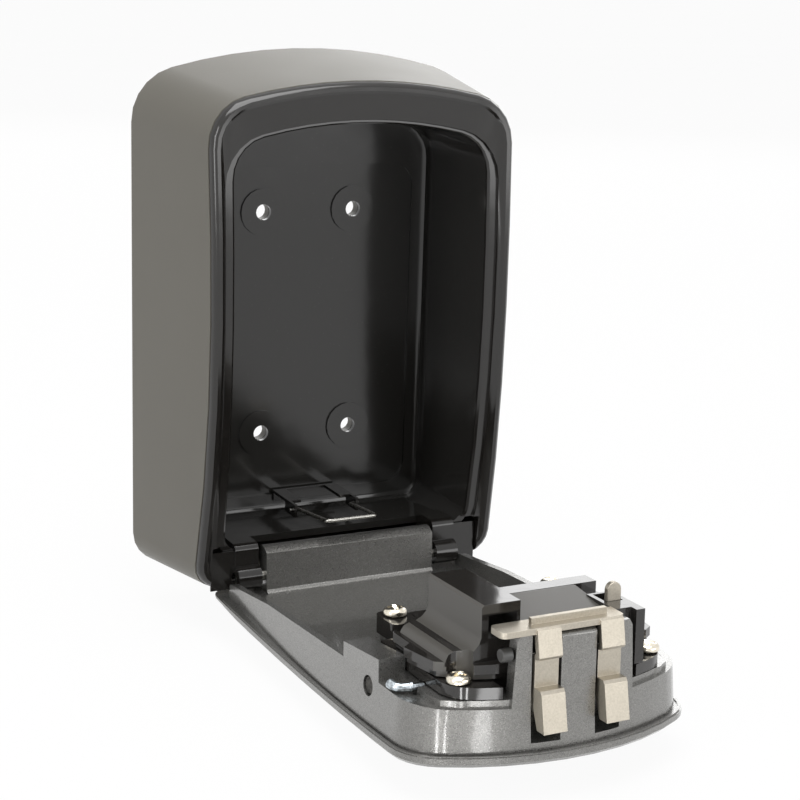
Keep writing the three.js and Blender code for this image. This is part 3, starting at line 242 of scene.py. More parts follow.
def flake_lacquer(colours):
    """Silver metallic lacquer on a casting: grey with bright flakes under a clear coat.

    Real flakes are about 0.05 mm, drawn here at 0.2 mm so that they show."""
    material, tree, mm = new_material("flake_lacquer")
    flakes = add_node(tree, "ShaderNodeTexVoronoi", {"Vector": mm, "Scale": 5.0})
    tilt = add_node(tree, "ShaderNodeSeparateColor", {"Color": flakes.outputs["Color"]})
    tone = add_node(tree, "ShaderNodeMapRange", {
        "Value": tilt.outputs["Red"], "To Min": 0.78, "To Max": 1.22,
    })
    grey = add_node(tree, "ShaderNodeMix", data_type="RGBA", blend_type="MULTIPLY", inputs={
        "Factor": 1.0, "A": opaque(colours.casting), "B": tone.outputs["Result"],
    })
    rough = add_node(tree, "ShaderNodeMapRange", {
        "Value": tilt.outputs["Green"], "To Min": 0.26, "To Max": 0.42,
    })
    bump = add_node(tree, "ShaderNodeBump", {
        "Strength": 0.22, "Distance": 0.08 * MM, "Height": tilt.outputs["Blue"],
    })
    paint = add_node(tree, "ShaderNodeBsdfPrincipled", {
        "Base Color": grey.outputs["Result"],
        "Metallic": 0.8,
        "Roughness": rough.outputs["Result"],
        "Coat Weight": 0.9,
        "Coat Roughness": 0.1,
        "Normal": bump.outputs["Normal"],
    })
    close_material(tree, paint)
    return material


def gloss_abs(colours):
    """Black ABS from a polished mould: deep gloss with faint flow ripples and dust.

    Its IOR is a little over the usual 1.54, to match the shine of the real skin."""
    material, tree, mm = new_material("gloss_abs")
    flow = add_node(tree, "ShaderNodeTexNoise", {
        "Vector": mm, "Scale": 0.16, "Detail": 1.5, "Distortion": 0.6,
    })
    bump = add_node(tree, "ShaderNodeBump", {
        "Strength": 0.15, "Distance": 0.4 * MM, "Height": flow.outputs["Fac"],
    })
    speck = add_node(tree, "ShaderNodeTexVoronoi", {"Vector": mm, "Scale": 0.9})
    dust = add_node(tree, "ShaderNodeMapRange", {
        "Value": speck.outputs["Distance"], "From Min": 0.03, "From Max": 0.08,
        "To Min": 0.45, "To Max": 0.1,
    })
    plastic = add_node(tree, "ShaderNodeBsdfPrincipled", {
        "Base Color": opaque(colours.housing),
        "Roughness": dust.outputs["Result"],
        "IOR": 1.6,
        "Normal": bump.outputs["Normal"],
    })
    close_material(tree, plastic)
    return material


def nickel_plate(colours):
    """Satin nickel plate on pressed steel: warm, bright, and faintly mottled by the steel.

    The grain is about half a millimetre across, and the softer patches about 3."""
    material, tree, mm = new_material("nickel_plate")
    grain = add_node(tree, "ShaderNodeTexNoise", {"Vector": mm, "Scale": 2.2, "Detail": 4.0})
    patch = add_node(tree, "ShaderNodeTexNoise", {"Vector": mm, "Scale": 0.35, "Detail": 2.0})
    rough = add_node(tree, "ShaderNodeMapRange", {
        "Value": patch.outputs["Fac"], "To Min": 0.3, "To Max": 0.5,
    })
    bump = add_node(tree, "ShaderNodeBump", {
        "Strength": 0.25, "Distance": 0.08 * MM, "Height": grain.outputs["Fac"],
    })
    share = add_node(tree, "ShaderNodeMapRange", {
        "Value": grain.outputs["Fac"], "From Min": 0.3, "From Max": 0.7,
    })
    tone = add_node(tree, "ShaderNodeMix", data_type="RGBA", inputs={
        "Factor": share.outputs["Result"],
        "A": opaque(colours.nickel, 0.9),
        "B": opaque(colours.nickel, 1.07),
    })
    plate = add_node(tree, "ShaderNodeBsdfPrincipled", {
        "Base Color": tone.outputs["Result"],
        "Metallic": 1.0,
        "Roughness": rough.outputs["Result"],
        "Normal": bump.outputs["Normal"],
    })
    close_material(tree, plate)
    return material


def plated_metal(name, colour, low, high, stain=0.85):
    """Small plated hardware: bright metal, whose polish and tone vary along the piece.

    low and high are its least and most roughness, stain the tone of its dull patches."""
    material, tree, mm = new_material(name)
    patch = add_node(tree, "ShaderNodeTexNoise", {"Vector": mm, "Scale": 0.8, "Detail": 3.0})
    cloud = add_node(tree, "ShaderNodeTexNoise", {"Vector": mm, "Scale": 1.1, "Detail": 4.0})
    tone = add_node(tree, "ShaderNodeMapRange", {
        "Value": cloud.outputs["Fac"], "From Min": 0.4, "From Max": 0.56,
    })
    plate = add_node(tree, "ShaderNodeMix", data_type="RGBA", inputs={
        "Factor": tone.outputs["Result"], "A": opaque(colour, stain), "B": opaque(colour),
    })
    rough = add_node(tree, "ShaderNodeMapRange", {
        "Value": patch.outputs["Fac"], "To Min": low, "To Max": high,
    })
    bump = add_node(tree, "ShaderNodeBump", {
        "Strength": 0.15, "Distance": 0.1 * MM, "Height": patch.outputs["Fac"],
    })
    metal = add_node(tree, "ShaderNodeBsdfPrincipled", {
        "Base Color": plate.outputs["Result"],
        "Metallic": 1.0,
        "Roughness": rough.outputs["Result"],
        "Normal": bump.outputs["Normal"],
    })
    close_material(tree, metal)
    return material


def eroded_moulding(name, colour, rough):
    """A plastic from a spark-eroded mould: matt, with a fine pebble of about 0.2 mm."""
    material, tree, mm = new_material(name)
    pebble = add_node(tree, "ShaderNodeTexNoise", {"Vector": mm, "Scale": 4.5, "Detail": 2.0})
    bump = add_node(tree, "ShaderNodeBump", {
        "Strength": 0.2, "Distance": 0.08 * MM, "Height": pebble.outputs["Fac"],
    })
    plastic = add_node(tree, "ShaderNodeBsdfPrincipled", {
        "Base Color": opaque(colour),
        "Roughness": rough,
        "Normal": bump.outputs["Normal"],
    })
    close_material(tree, plastic)
    return material


def paper_white(name, lit):
    """Paper that the camera and glossy rays see as white, by the share lit.

    The rest of it is matt, and keeps the safe's shadow."""
    material, tree = empty_material(name)
    matte = add_node(tree, "ShaderNodeBsdfDiffuse", {"Color": PAPER})
    white = add_node(tree, "ShaderNodeEmission", {"Color": WHITE, "Strength": 1.0})
    share = add_node(tree, "ShaderNodeMath", operation="MULTIPLY", inputs={
        0: seen_or_glossy(tree), 1: lit,
    })
    blend = add_node(tree, "ShaderNodeMixShader", {
        0: share.outputs[0], 1: matte.outputs[0], 2: white.outputs[0],
    })
    close_material(tree, blend)
    return material


FINISHES = {}


def opened(x, y, z):
    """A point in millimetres on the shut door, where the packed, open door holds it."""
    out, up = y - HINGE_Y, z - HINGE_Z
    turn, lift = math.cos(OPEN_ANGLE), math.sin(OPEN_ANGLE)
    return Vector((x, HINGE_Y + out * turn - up * lift, HINGE_Z + out * lift + up * turn)) * MM


def door_face(z):
    """Depth of the bowed door front at a height on the shut door."""
    return DOOR_FRONT + (z - DOOR_MID_Z) ** 2 / (2 * DOOR_ARC)


def link_piece(name, data):
    """A new object at the origin with this mesh, or this lamp, camera or text."""
    piece = bpy.data.objects.new(name, data)
    bpy.context.scene.collection.objects.link(piece)
    return piece


def seat_piece(piece, node, finish):
    """Puts a finish on a piece that stands for a CAD node, and seats it on the node's body."""
    piece.data.materials.clear()
    piece.data.materials.append(FINISHES[finish])
    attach(piece, frame["nodes"][node]["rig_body"])
    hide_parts(node)


def shade(shape):
    """Smooth faces, with sharp edges where the faces meet at an angle."""
    for face in shape.faces:
        face.smooth = True
    for edge in shape.edges:
        edge.smooth = len(edge.link_faces) == 2 and edge.calc_face_angle() < SMOOTH_ANGLE


def welded(node, name):
    """A copy of a CAD node with its loose triangles welded and its flat faces made whole."""
    mesh = frame["nodes"][node].data.copy()
    mesh.name = name
    shape = bmesh.new()
    shape.from_mesh(mesh)
    bmesh.ops.remove_doubles(shape, verts=shape.verts, dist=CAD_WELD)
    bmesh.ops.dissolve_limit(
        shape, angle_limit=FLAT_ANGLE, use_dissolve_boundaries=False,
        verts=shape.verts, edges=shape.edges,
    )
    shade(shape)
    shape.to_mesh(mesh)
    shape.free()
    return link_piece(name, mesh)


def mesh_piece(name, shape):
    """A piece from a closed bmesh, with its faces turned outwards."""
    bmesh.ops.recalc_face_normals(shape, faces=shape.faces)
    shade(shape)
    mesh = bpy.data.meshes.new(name)
    shape.to_mesh(mesh)
    shape.free()
    return link_piece(name, mesh)


def prism(shape, outline, x0, x1):
    """A door profile, (depth, height) on the shut door, pushed from one side to the other."""
    ends = [[shape.verts.new(opened(x, y, z)) for y, z in outline] for x in (x0, x1)]
    shape.faces.new(ends[0])
    shape.faces.new(reversed(ends[1]))
    for i in range(len(outline)):
        j = (i + 1) % len(outline)
        shape.faces.new((ends[0][i], ends[0][j], ends[1][j], ends[1][i]))


def made_plain(piece):
    """Turns a piece's modifiers into its mesh."""
    graph = bpy.context.evaluated_depsgraph_get()
    mesh = bpy.data.meshes.new_from_object(piece.evaluated_get(graph), depsgraph=graph)
    piece.modifiers.clear()
    piece.data = mesh
    return piece


def ride_new(piece, body, finish):
    """Puts a finish on a piece of its own and lets it ride on a body."""
    piece.data.materials.clear()
    piece.data.materials.append(FINISHES[finish])
    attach(piece, body)


def node_tree(name, sockets):
    """An empty Geometry Nodes tree with named sockets, and its group input."""
    tree = bpy.data.node_groups.new(name, "GeometryNodeTree")
    for socket, kind, way in sockets:
        tree.interface.new_socket(name=socket, in_out=way, socket_type="NodeSocket" + kind)
    return tree, add_node(tree, "NodeGroupInput")


def run_tree(piece, tree, values):
    """Runs a tree on a piece with its inputs given by name, and keeps the plain result."""
    modifier = piece.modifiers.new(tree.name, "NODES")
    modifier.node_group = tree
    for item in tree.interface.items_tree:
        if item.name in values:
            modifier[item.identifier] = values[item.name]
    return made_plain(piece)


def screw_row_tree():
    """A screw on each point: leaned with its seat, and turned by chance about its own axis."""
    tree, given = node_tree("screw_row", (
        ("Points", "Geometry", "INPUT"),
        ("Screw", "Object", "INPUT"),
        ("Lean", "Float", "INPUT"),
        ("Seed", "Int", "INPUT"),
        ("Finish", "Material", "INPUT"),
        ("Screws", "Geometry", "OUTPUT"),
    ))
    spots = add_node(tree, "GeometryNodeMeshToPoints", {"Mesh": given.outputs["Points"]})
    screw = add_node(tree, "GeometryNodeObjectInfo", {"Object": given.outputs["Screw"]})
    chance = add_node(tree, "FunctionNodeRandomValue", data_type="FLOAT", inputs={
        2: 0.0, 3: math.tau, "Seed": given.outputs["Seed"],
    })
    lean = add_node(tree, "ShaderNodeCombineXYZ", {"X": given.outputs["Lean"]})
    spin = add_node(tree, "ShaderNodeCombineXYZ", {"Z": chance.outputs[1]})
    turn = add_node(tree, "FunctionNodeRotateRotation", rotation_space="LOCAL", inputs={
        "Rotation": lean.outputs[0], "Rotate By": spin.outputs[0],
    })
    placed = add_node(tree, "GeometryNodeInstanceOnPoints", {
        "Points": spots.outputs[0],
        "Instance": screw.outputs["Geometry"],
        "Rotation": turn.outputs[0],
    })
    whole = add_node(tree, "GeometryNodeRealizeInstances", {"Geometry": placed.outputs[0]})
    coated = add_node(tree, "GeometryNodeSetMaterial", {
        "Geometry": whole.outputs[0], "Material": given.outputs["Finish"],
    })
    add_node(tree, "NodeGroupOutput", {"Screws": coated.outputs[0]})
    return tree


def bent_wire_tree():
    """A round wire along a line of straight stretches, bent to one radius at each corner."""
    tree, given = node_tree("bent_wire", (
        ("Path", "Geometry", "INPUT"),
        ("Wire radius", "Float", "INPUT"),
        ("Bend radius", "Float", "INPUT"),
        ("Finish", "Material", "INPUT"),
        ("Wire", "Geometry", "OUTPUT"),
    ))
    path = add_node(tree, "GeometryNodeMeshToCurve", {"Mesh": given.outputs["Path"]})
    bends = add_node(tree, "GeometryNodeFilletCurve", mode="POLY", inputs={
        "Curve": path.outputs[0], "Count": 8, "Radius": given.outputs["Bend radius"],
    })
    ring = add_node(tree, "GeometryNodeCurvePrimitiveCircle", {
        "Resolution": 20, "Radius": given.outputs["Wire radius"],
    })
    wire = add_node(tree, "GeometryNodeCurveToMesh", {
        "Curve": bends.outputs[0], "Profile Curve": ring.outputs[0], "Fill Caps": True,
    })
    whole = add_node(tree, "GeometryNodeRealizeInstances", {"Geometry": wire.outputs[0]})
    coated = add_node(tree, "GeometryNodeSetMaterial", {
        "Geometry": whole.outputs[0], "Material": given.outputs["Finish"],
    })
    add_node(tree, "NodeGroupOutput", {"Wire": coated.outputs[0]})
    return tree


def coil_row_tree():
    """A compression spring on each point, wound from one spiral and leaned to its bore."""
    tree, given = node_tree("coil_row", (
        ("Points", "Geometry", "INPUT"),
        ("Wire radius", "Float", "INPUT"),
        ("Coil radius", "Float", "INPUT"),
        ("Length", "Float", "INPUT"),
        ("Turns", "Float", "INPUT"),
        ("Lean", "Float", "INPUT"),
        ("Finish", "Material", "INPUT"),
        ("Springs", "Geometry", "OUTPUT"),
    ))
    spiral = add_node(tree, "GeometryNodeCurveSpiral", {
        "Resolution": 24,
        "Rotations": given.outputs["Turns"],
        "Start Radius": given.outputs["Coil radius"],
        "End Radius": given.outputs["Coil radius"],
        "Height": given.outputs["Length"],
    })
    ring = add_node(tree, "GeometryNodeCurvePrimitiveCircle", {
        "Resolution": 10, "Radius": given.outputs["Wire radius"],
    })
    wire = add_node(tree, "GeometryNodeCurveToMesh", {
        "Curve": spiral.outputs[0], "Profile Curve": ring.outputs[0], "Fill Caps": True,
    })
    spots = add_node(tree, "GeometryNodeMeshToPoints", {"Mesh": given.outputs["Points"]})
    lean = add_node(tree, "ShaderNodeCombineXYZ", {"X": given.outputs["Lean"]})
    placed = add_node(tree, "GeometryNodeInstanceOnPoints", {
        "Points": spots.outputs[0],
        "Instance": wire.outputs[0],
        "Rotation": lean.outputs[0],
    })
    whole = add_node(tree, "GeometryNodeRealizeInstances", {"Geometry": placed.outputs[0]})
    coated = add_node(tree, "GeometryNodeSetMaterial", {
        "Geometry": whole.outputs[0], "Material": given.outputs["Finish"],
    })
    add_node(tree, "NodeGroupOutput", {"Springs": coated.outputs[0]})
    return tree


def pan_screw(depth_mm):
    """One pan-head screw standing on the origin, with a tapered cross recess of a real depth.

    floor and mouth are the recess's height, reach and half width at its two ends."""
    rim = 0.75
    tip = -SHANK_LENGTH
    profile = [(0, tip), (SHANK_RADIUS - 0.15, tip), (SHANK_RADIUS, tip + 0.4), (SHANK_RADIUS, 0)]
    profile += [(2.7, 0), (2.9, 0.12), (2.95, 0.35), (SCREW_RADIUS, rim)]
    for k in range(1, 9):
        turn = math.pi / 2 * k / 8
        crown = rim + (SCREW_HEAD - rim) * math.sin(turn)
        profile.append((SCREW_RADIUS * math.cos(turn) ** 0.75, crown))
    shape = bmesh.new()
    line = [shape.verts.new(Vector((r, 0, z)) * MM) for r, z in profile]
    edges = [shape.edges.new(pair) for pair in zip(line, line[1:])]
    bmesh.ops.spin(
        shape, geom=line + edges, axis=(0, 0, 1), cent=(0, 0, 0), steps=48, angle=math.tau)
    bmesh.ops.remove_doubles(shape, verts=shape.verts, dist=2e-6)
    screw = mesh_piece("pan_screw", shape)
    cutters = []
    floor = (SCREW_HEAD - depth_mm, 0.8, 0.3)
    mouth = (SCREW_HEAD + 0.1, 2.15, 0.52)
    for turn in (0, math.pi / 2):
        arm = bmesh.new()
        rows = []
        for z, reach, half in (floor, mouth):
            rows.append([
                arm.verts.new(Matrix.Rotation(turn, 3, "Z") @ Vector((x, y, z)) * MM)
                for x, y in ((-reach, -half), (reach, -half), (reach, half), (-reach, half))
            ])
        arm.faces.new(rows[0])
        arm.faces.new(rows[1])
        for i in range(4):
            arm.faces.new((rows[0][i], rows[0][i - 1], rows[1][i - 1], rows[1][i]))
        cutter = mesh_piece("recess_arm", arm)
        cut = screw.modifiers.new("recess", "BOOLEAN")
        cut.object = cutter
        cut.operation = "DIFFERENCE"
        cut.solver = "EXACT"
        cutters.append(cutter)
    made_plain(screw)
    for cutter in cutters:
        bpy.data.objects.remove(cutter)
    shape = bmesh.new()
    shape.from_mesh(screw.data)
    shade(shape)
    shape.to_mesh(screw.data)
    shape.free()
    return screw


def dial_figures(number, height):
    """The figures 0 to 9 round one dial, each a thin raised print between two grips."""
    shape = bmesh.new()
    x = DIAL_PITCH * (number - 2.5)
    sunk, half_thick, size_per_height = 0.12, 0.16, 1.35
    radius = DIAL_RADIUS - sunk
    side = Vector((1, 0, 0))
    for figure in range(10):
        text = bpy.data.curves.new("figure", "FONT")
        text.body = str(figure)
        text.size = height * size_per_height
        text.extrude = half_thick * MM
        text.align_x = "CENTER"
        text.align_y = "CENTER"
        maker = link_piece("figure", text)
        graph = bpy.context.evaluated_depsgraph_get()
        mesh = bpy.data.meshes.new_from_object(maker.evaluated_get(graph))
        angle = math.radians(DIAL_STEP * figure + FIRST_FIGURE)
        out, rise = math.cos(angle), math.sin(angle)
        place = opened(x, DIAL_Y + radius * out, DIAL_Z + radius * rise)
        beyond = opened(x, DIAL_Y + radius * out + out, DIAL_Z + radius * rise + rise)
        normal = (beyond - place).normalized()
        up = normal.cross(side)
        turn = Matrix((side, up, normal)).transposed().to_4x4()
        mesh.transform(Matrix.Translation(place) @ turn)
        shape.from_mesh(mesh)
        bpy.data.objects.remove(maker)
        bpy.data.meshes.remove(mesh)
    bmesh.ops.remove_doubles(shape, verts=shape.verts, dist=1e-7)
    mesh = bpy.data.meshes.new(f"dial_{number}_figures")
    shape.to_mesh(mesh)
    shape.free()
    piece = link_piece(mesh.name, mesh)
    ride_new(piece, f"dial_wheel_{number}", "figures")


def wire_bail():
    """The bent wire that swings in the bracket, from one ear round to the other."""
    end, ear, loop = (10.9, -19.5, -57.6), (8.2, -19.5, -57.6), (7.6, -38.5, -55.6)
    line = [end, ear, loop] + [(-x, y, z) for x, y, z in (loop, ear, end)]
    links = [(i, i + 1) for i in range(len(line) - 1)]
    path = bpy.data.meshes.new("bent_bail")
    path.from_pydata([Vector(p) * MM for p in line], links, [])
    piece = link_piece("bent_bail", path)
    run_tree(piece, bent_wire_tree(), {
        "Wire radius": 0.55 * MM, "Bend radius": 1.3 * MM, "Finish": FINISHES["steel"],
    })
    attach(piece, "bail")
    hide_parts("wire_bail")


def latch_springs():
    """The two springs behind the latch plate.

    side, depth and foot place their fixed ends on the shut door, in millimetres."""
    side, depth, foot, length, travel = 8.4, -25.0, 40.65, 10.6, 3.1
    points = bpy.data.meshes.new("latch_springs")
    points.from_pydata([opened(x, depth, foot) for x in (-side, side)], [], [])
    piece = link_piece("latch_springs", points)
    run_tree(piece, coil_row_tree(), {
        "Wire radius": 0.25 * MM,
        "Coil radius": 2 * MM,
        "Length": length * MM,
        "Turns": 6.0,
        "Lean": OPEN_ANGLE,
        "Finish": FINISHES["steel"],
    })
    nodes = ("latch_spring_left", "latch_spring_right")
    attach(piece, frame["nodes"][nodes[0]]["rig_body"])
    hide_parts(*nodes)
    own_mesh(piece)


def line_inside(liner):
    """Gives the liner's walls, behind the frame, a lighter black than the frame: painted light in
    the compartment.
    """
    liner.data.materials.append(FINISHES["inside"])
    for face in liner.data.polygons:
        if face.center.y > WALLS_FROM_Y * MM:
            face.material_index = 1


def satin_flank(housing):
    """Gives the flank of the tall tower and its cove the satin of an eroded mould, in a grey
    lighter than the housing's black: painted light, standing for the reflections on the glossy
    black there.
    """
    housing.data.materials.append(FINISHES["satin_abs_painted_light"])
    for face in housing.data.polygons:
        middle = face.center / MM
        on_flank = FLANK_LEFT < middle.x < FLANK_RIGHT and middle.z > COVER_LEVEL
        if on_flank and face.normal.x < -0.3:
            face.material_index = 1


def housing_ramp():
    """The sloping face of the housing, from its rear strip down to the latch bar.

    Its profile is (depth, height) on the shut door, in millimetres."""
    shape = bmesh.new()
    left, right, rear, front, under = -9.95, 13.4, 29.3, 43.8, -18.0
    face = [(-14.55, rear), (-14.6, 30.4), (-16.2, 43.4), (-16.5, front)]
    prism(shape, face + [(under, front), (under, rear)], left, right)
    piece = soften(mesh_piece("housing_ramp", shape), 0.3, 2, 50)
    # Its light grey is a painted reflection of the bright surround on the black moulding
    ride_new(piece, "door", "satin_abs_painted_light")


def thumb_slider():
    """The release slider: a thin bowed thumb piece with three grip ribs, and its neck.

    Its sizes are on the shut door: low and high its ends, off its gap to the door's front."""
    half, low, high, off, thick = 9.0, 41.2, 49.2, 0.45, 1.0
    rib_half, rib_start, rib_pitch, rib_proud, rib_sunk = half - 2, 1.4, 1.7, 0.45, 0.3
    neck_half, neck_low, neck_high, neck_in = 3.5, 47.2, 48.7, 0.7
    shape = bmesh.new()
    rows = [low + (high - low) * k / 8 for k in range(9)]
    front = [(door_face(z) - off - thick, z) for z in rows]
    back = [(door_face(z) - off, z) for z in reversed(rows)]
    prism(shape, front + back, -half, half)
    for k in range(3):
        z = low + rib_start + rib_pitch * k
        base = door_face(z) - off
        crest, foot = base - thick - rib_proud, base - rib_sunk
        rib = [(crest, z + 0.15), (crest, z + 0.65), (foot, z + 0.8), (foot, z)]
        prism(shape, rib, -rib_half, rib_half)
    outer, inner = door_face(neck_low) - thick, DOOR_FRONT + neck_in
    neck = [(outer, neck_low), (inner, neck_low), (inner, neck_high), (outer, neck_high)]
    prism(shape, neck, -neck_half, neck_half)
    piece = soften(mesh_piece("thumb_slider", shape), 0.22, 2)
    seat_piece(piece, "release_slider", "nylon")


def soften(piece, edge_mm, segments=2, angle=40):
    """Rounds a piece's edges by a real radius."""
    bevel = piece.modifiers.new("edge_round", "BEVEL")
    bevel.width = edge_mm * MM
    bevel.segments = segments
    bevel.limit_method = "ANGLE"
    bevel.angle_limit = math.radians(angle)
    bevel.use_clamp_overlap = True
    bevel.harden_normals = True
    bevel.miter_outer = "MITER_ARC"
    weighted = piece.modifiers.new("flat_faces", "WEIGHTED_NORMAL")
    weighted.keep_sharp = True
    return piece


def dress(node, finish, edge_mm, segments=2, angle=40):
    """The usual finish of a rigid CAD node: welded, its edges rounded, its material on."""
    piece = soften(welded(node, node + "_dressed"), edge_mm, segments, angle)
    seat_piece(piece, node, finish)
    return piece


def paint_node(node, finish):
    """Puts a material on a CAD node that keeps its own mesh."""
    data = frame["nodes"][node].data
    data.materials.clear()
    data.materials.append(FINISHES[finish])


class SafeColours(bpy.types.PropertyGroup):
    """Colours of the safe's finishes."""

    enamel: bpy.props.FloatVectorProperty(
        name="Enamel", description="Satin enamel of the body", subtype="COLOR",
        default=linear("#5f5c54")[:3], min=0, max=1)
    lacquer: bpy.props.FloatVectorProperty(
        name="Lacquer", description="Black lacquer of the liner", subtype="COLOR",
        default=linear("#1c1a18")[:3], min=0, max=1)
    # A lighter black than the frame's lacquer: painted light on the compartment walls
    inside: bpy.props.FloatVectorProperty(
        name="Inside", description="Black of the compartment walls", subtype="COLOR",
        default=linear("#262523")[:3], min=0, max=1)
    casting: bpy.props.FloatVectorProperty(
        name="Casting", description="Metallic lacquer of the door", subtype="COLOR",
        default=linear("#7c7b78")[:3], min=0, max=1)
    housing: bpy.props.FloatVectorProperty(
        name="Housing", description="Black moulding over the lock", subtype="COLOR",
        default=linear("#282624")[:3], min=0, max=1)
    nickel: bpy.props.FloatVectorProperty(
        name="Nickel", description="Nickel plate of the latch", subtype="COLOR",
        default=linear("#b3ac9f")[:3], min=0, max=1)
    # Lighter than the housing's black: painted light on the tower's flank and the ramp
    satin: bpy.props.FloatVectorProperty(
        name="Satin", description="Eroded faces of the lock housing", subtype="COLOR",
        default=linear("#4c4a46")[:3], min=0, max=1)
    screw: bpy.props.FloatVectorProperty(
        name="Screw", description="Bright nickel of the screw heads", subtype="COLOR",
        default=linear("#f2ead9")[:3], min=0, max=1)
    steel: bpy.props.FloatVectorProperty(
        name="Steel", description="Bright steel", subtype="COLOR",
        default=linear("#b3b1ab")[:3], min=0, max=1)
    zinc: bpy.props.FloatVectorProperty(
        name="Zinc", description="Blue-white zinc plate", subtype="COLOR",
        default=linear("#c2cacf")[:3], min=0, max=1)
    dull_zinc: bpy.props.FloatVectorProperty(
        name="Dull zinc", description="Weathered face of the pressed pin", subtype="COLOR",
        default=linear("#55534f")[:3], min=0, max=1)
    peg: bpy.props.FloatVectorProperty(
        name="Peg", description="Dark grey peg in the tower", subtype="COLOR",
        default=linear("#4a4a49")[:3], min=0, max=1)
    nylon: bpy.props.FloatVectorProperty(
        name="Nylon", description="Matt black mouldings on the door's front", subtype="COLOR",
        default=linear("#191919")[:3], min=0, max=1)
    figures: bpy.props.FloatVectorProperty(
        name="Figures", description="Printed numbers on the dials", subtype="COLOR",
        default=linear("#ece9e2")[:3], min=0, max=1)


class SafeSizes(bpy.types.PropertyGroup):
    """Sizes that only the dressing holds."""

    casting_edge: bpy.props.FloatProperty(
        name="Casting edge", description="Edge radius of the door casting",
        default=0.45 * MM, min=0, unit="LENGTH")
    housing_edge: bpy.props.FloatProperty(
        name="Housing edge", description="Edge radius of the lock housing",
        default=0.35 * MM, min=0, unit="LENGTH")
    latch_edge: bpy.props.FloatProperty(
        name="Latch edge", description="Edge radius of the latch plate",
        default=0.3 * MM, min=0, unit="LENGTH")
    figure_height: bpy.props.FloatProperty(
        name="Figure height", description="Height of a dial's number",
        default=3.6 * MM, min=0, unit="LENGTH")
    screw_recess: bpy.props.FloatProperty(
        name="Screw recess", description="Depth of the cross recess in a housing screw",
        default=1.2 * MM, min=0, unit="LENGTH")


class SAFE_OT_finishes(bpy.types.Operator):
    """Make the materials"""

    bl_idname = "key_safe.finishes"
    bl_label = "Finishes"

    def execute(self, context):
        colours = context.scene.safe_colours
        FINISHES.update({
            "enamel": satin_enamel(colours),
            "lacquer": gloss_lacquer("gloss_lacquer", colours.lacquer, 1.56),
            # inside is the frame's lacquer made lighter: painted light on the compartment walls
            "inside": gloss_lacquer("thin_lacquer", colours.inside, 1.56),
            "flake": flake_lacquer(colours),
            "abs": gloss_abs(colours),
            "nickel": nickel_plate(colours),
            "steel": plated_metal("bright_steel", colours.steel, 0.2, 0.36),
            "zinc": plated_metal("zinc_plate", colours.zinc, 0.22, 0.45, 0.45),
            "screw": plated_metal("bright_nickel", colours.screw, 0.14, 0.3),
            # A matt eroded finish whose light grey is painted light on the tower's flank and the
            # ramp
            "satin_abs_painted_light": eroded_moulding("eroded_abs", colours.satin, 0.42),
            "dull_zinc": plated_metal("weathered_zinc", colours.dull_zinc, 0.45, 0.7, 0.4),
            "nylon": eroded_moulding("black_nylon", colours.nylon, 0.5),
            "peg": eroded_moulding("grey_nylon", colours.peg, 0.35),
            "figures": eroded_moulding("printed_figures", colours.figures, 0.6),
        })
        return {"FINISHED"}


class SAFE_OT_body(bpy.types.Operator):
    """Dress the shell, the liner, the bracket and the bail"""

    bl_idname = "key_safe.body"
    bl_label = "Body"

    def execute(self, context):
        dress("outer_shell", "enamel", 0.35, 2, 50)
        liner = dress("inner_liner", "lacquer", 0.35, 2, 38)
        line_inside(liner)
        dress("bail_bracket", "lacquer", 0.15, 2)
        paint_node("hinge_pin", "steel")
        wire_bail()
        for i in range(1, 5):
            paint_node(f"liner_screw_{i}", "zinc")
        return {"FINISHED"}


class SAFE_OT_door(bpy.types.Operator):
    """Dress the door casting and the small pins in it"""

    bl_idname = "key_safe.door"
    bl_label = "Door"

    def execute(self, context):
        edge = context.scene.safe_sizes.casting_edge / MM
        dress("door_casting", "flake", edge, 3, 38)
        dress("pressed_pin", "dull_zinc", 0.5, 3)
        dress("tower_peg", "peg", 0.3, 2)
        dress("bent_pin", "zinc", 0.05, 1, 70)
        return {"FINISHED"}


class SAFE_OT_housing(bpy.types.Operator):
    """Dress the lock housing and its base plate"""

    bl_idname = "key_safe.housing"
    bl_label = "Housing"

    def execute(self, context):
        edge = context.scene.safe_sizes.housing_edge / MM
        housing = dress("mechanism_housing", "abs", edge, 3)
        satin_flank(housing)
        dress("housing_base_plate", "abs", edge, 3)
        housing_ramp()
        return {"FINISHED"}


class SAFE_OT_latch(bpy.types.Operator):
    """Dress the latch plate, its springs and the reset lever"""

    bl_idname = "key_safe.latch"
    bl_label = "Latch"

    def execute(self, context):
        edge = context.scene.safe_sizes.latch_edge / MM
        dress("latch_plate", "nickel", edge, 3, 25)
        dress("reset_lever", "nickel", 0.2, 2)
        latch_springs()
        for node in ("detent_spring", "dial_shaft"):
            paint_node(node, "steel")
        return {"FINISHED"}


class SAFE_OT_front(bpy.types.Operator):
    """Dress the dials, the shutter and the release slider"""

    bl_idname = "key_safe.front"
    bl_label = "Front"

    def execute(self, context):
        thumb_slider()
        dress("weather_shutter", "nylon", 0.3, 2)
        for i in range(1, 5):
            dress(f"dial_{i}", "nylon", 0.2, 2, 20)
            dial_figures(i, context.scene.safe_sizes.figure_height)
            paint_node(f"code_sleeve_{i}", "steel")
        return {"FINISHED"}


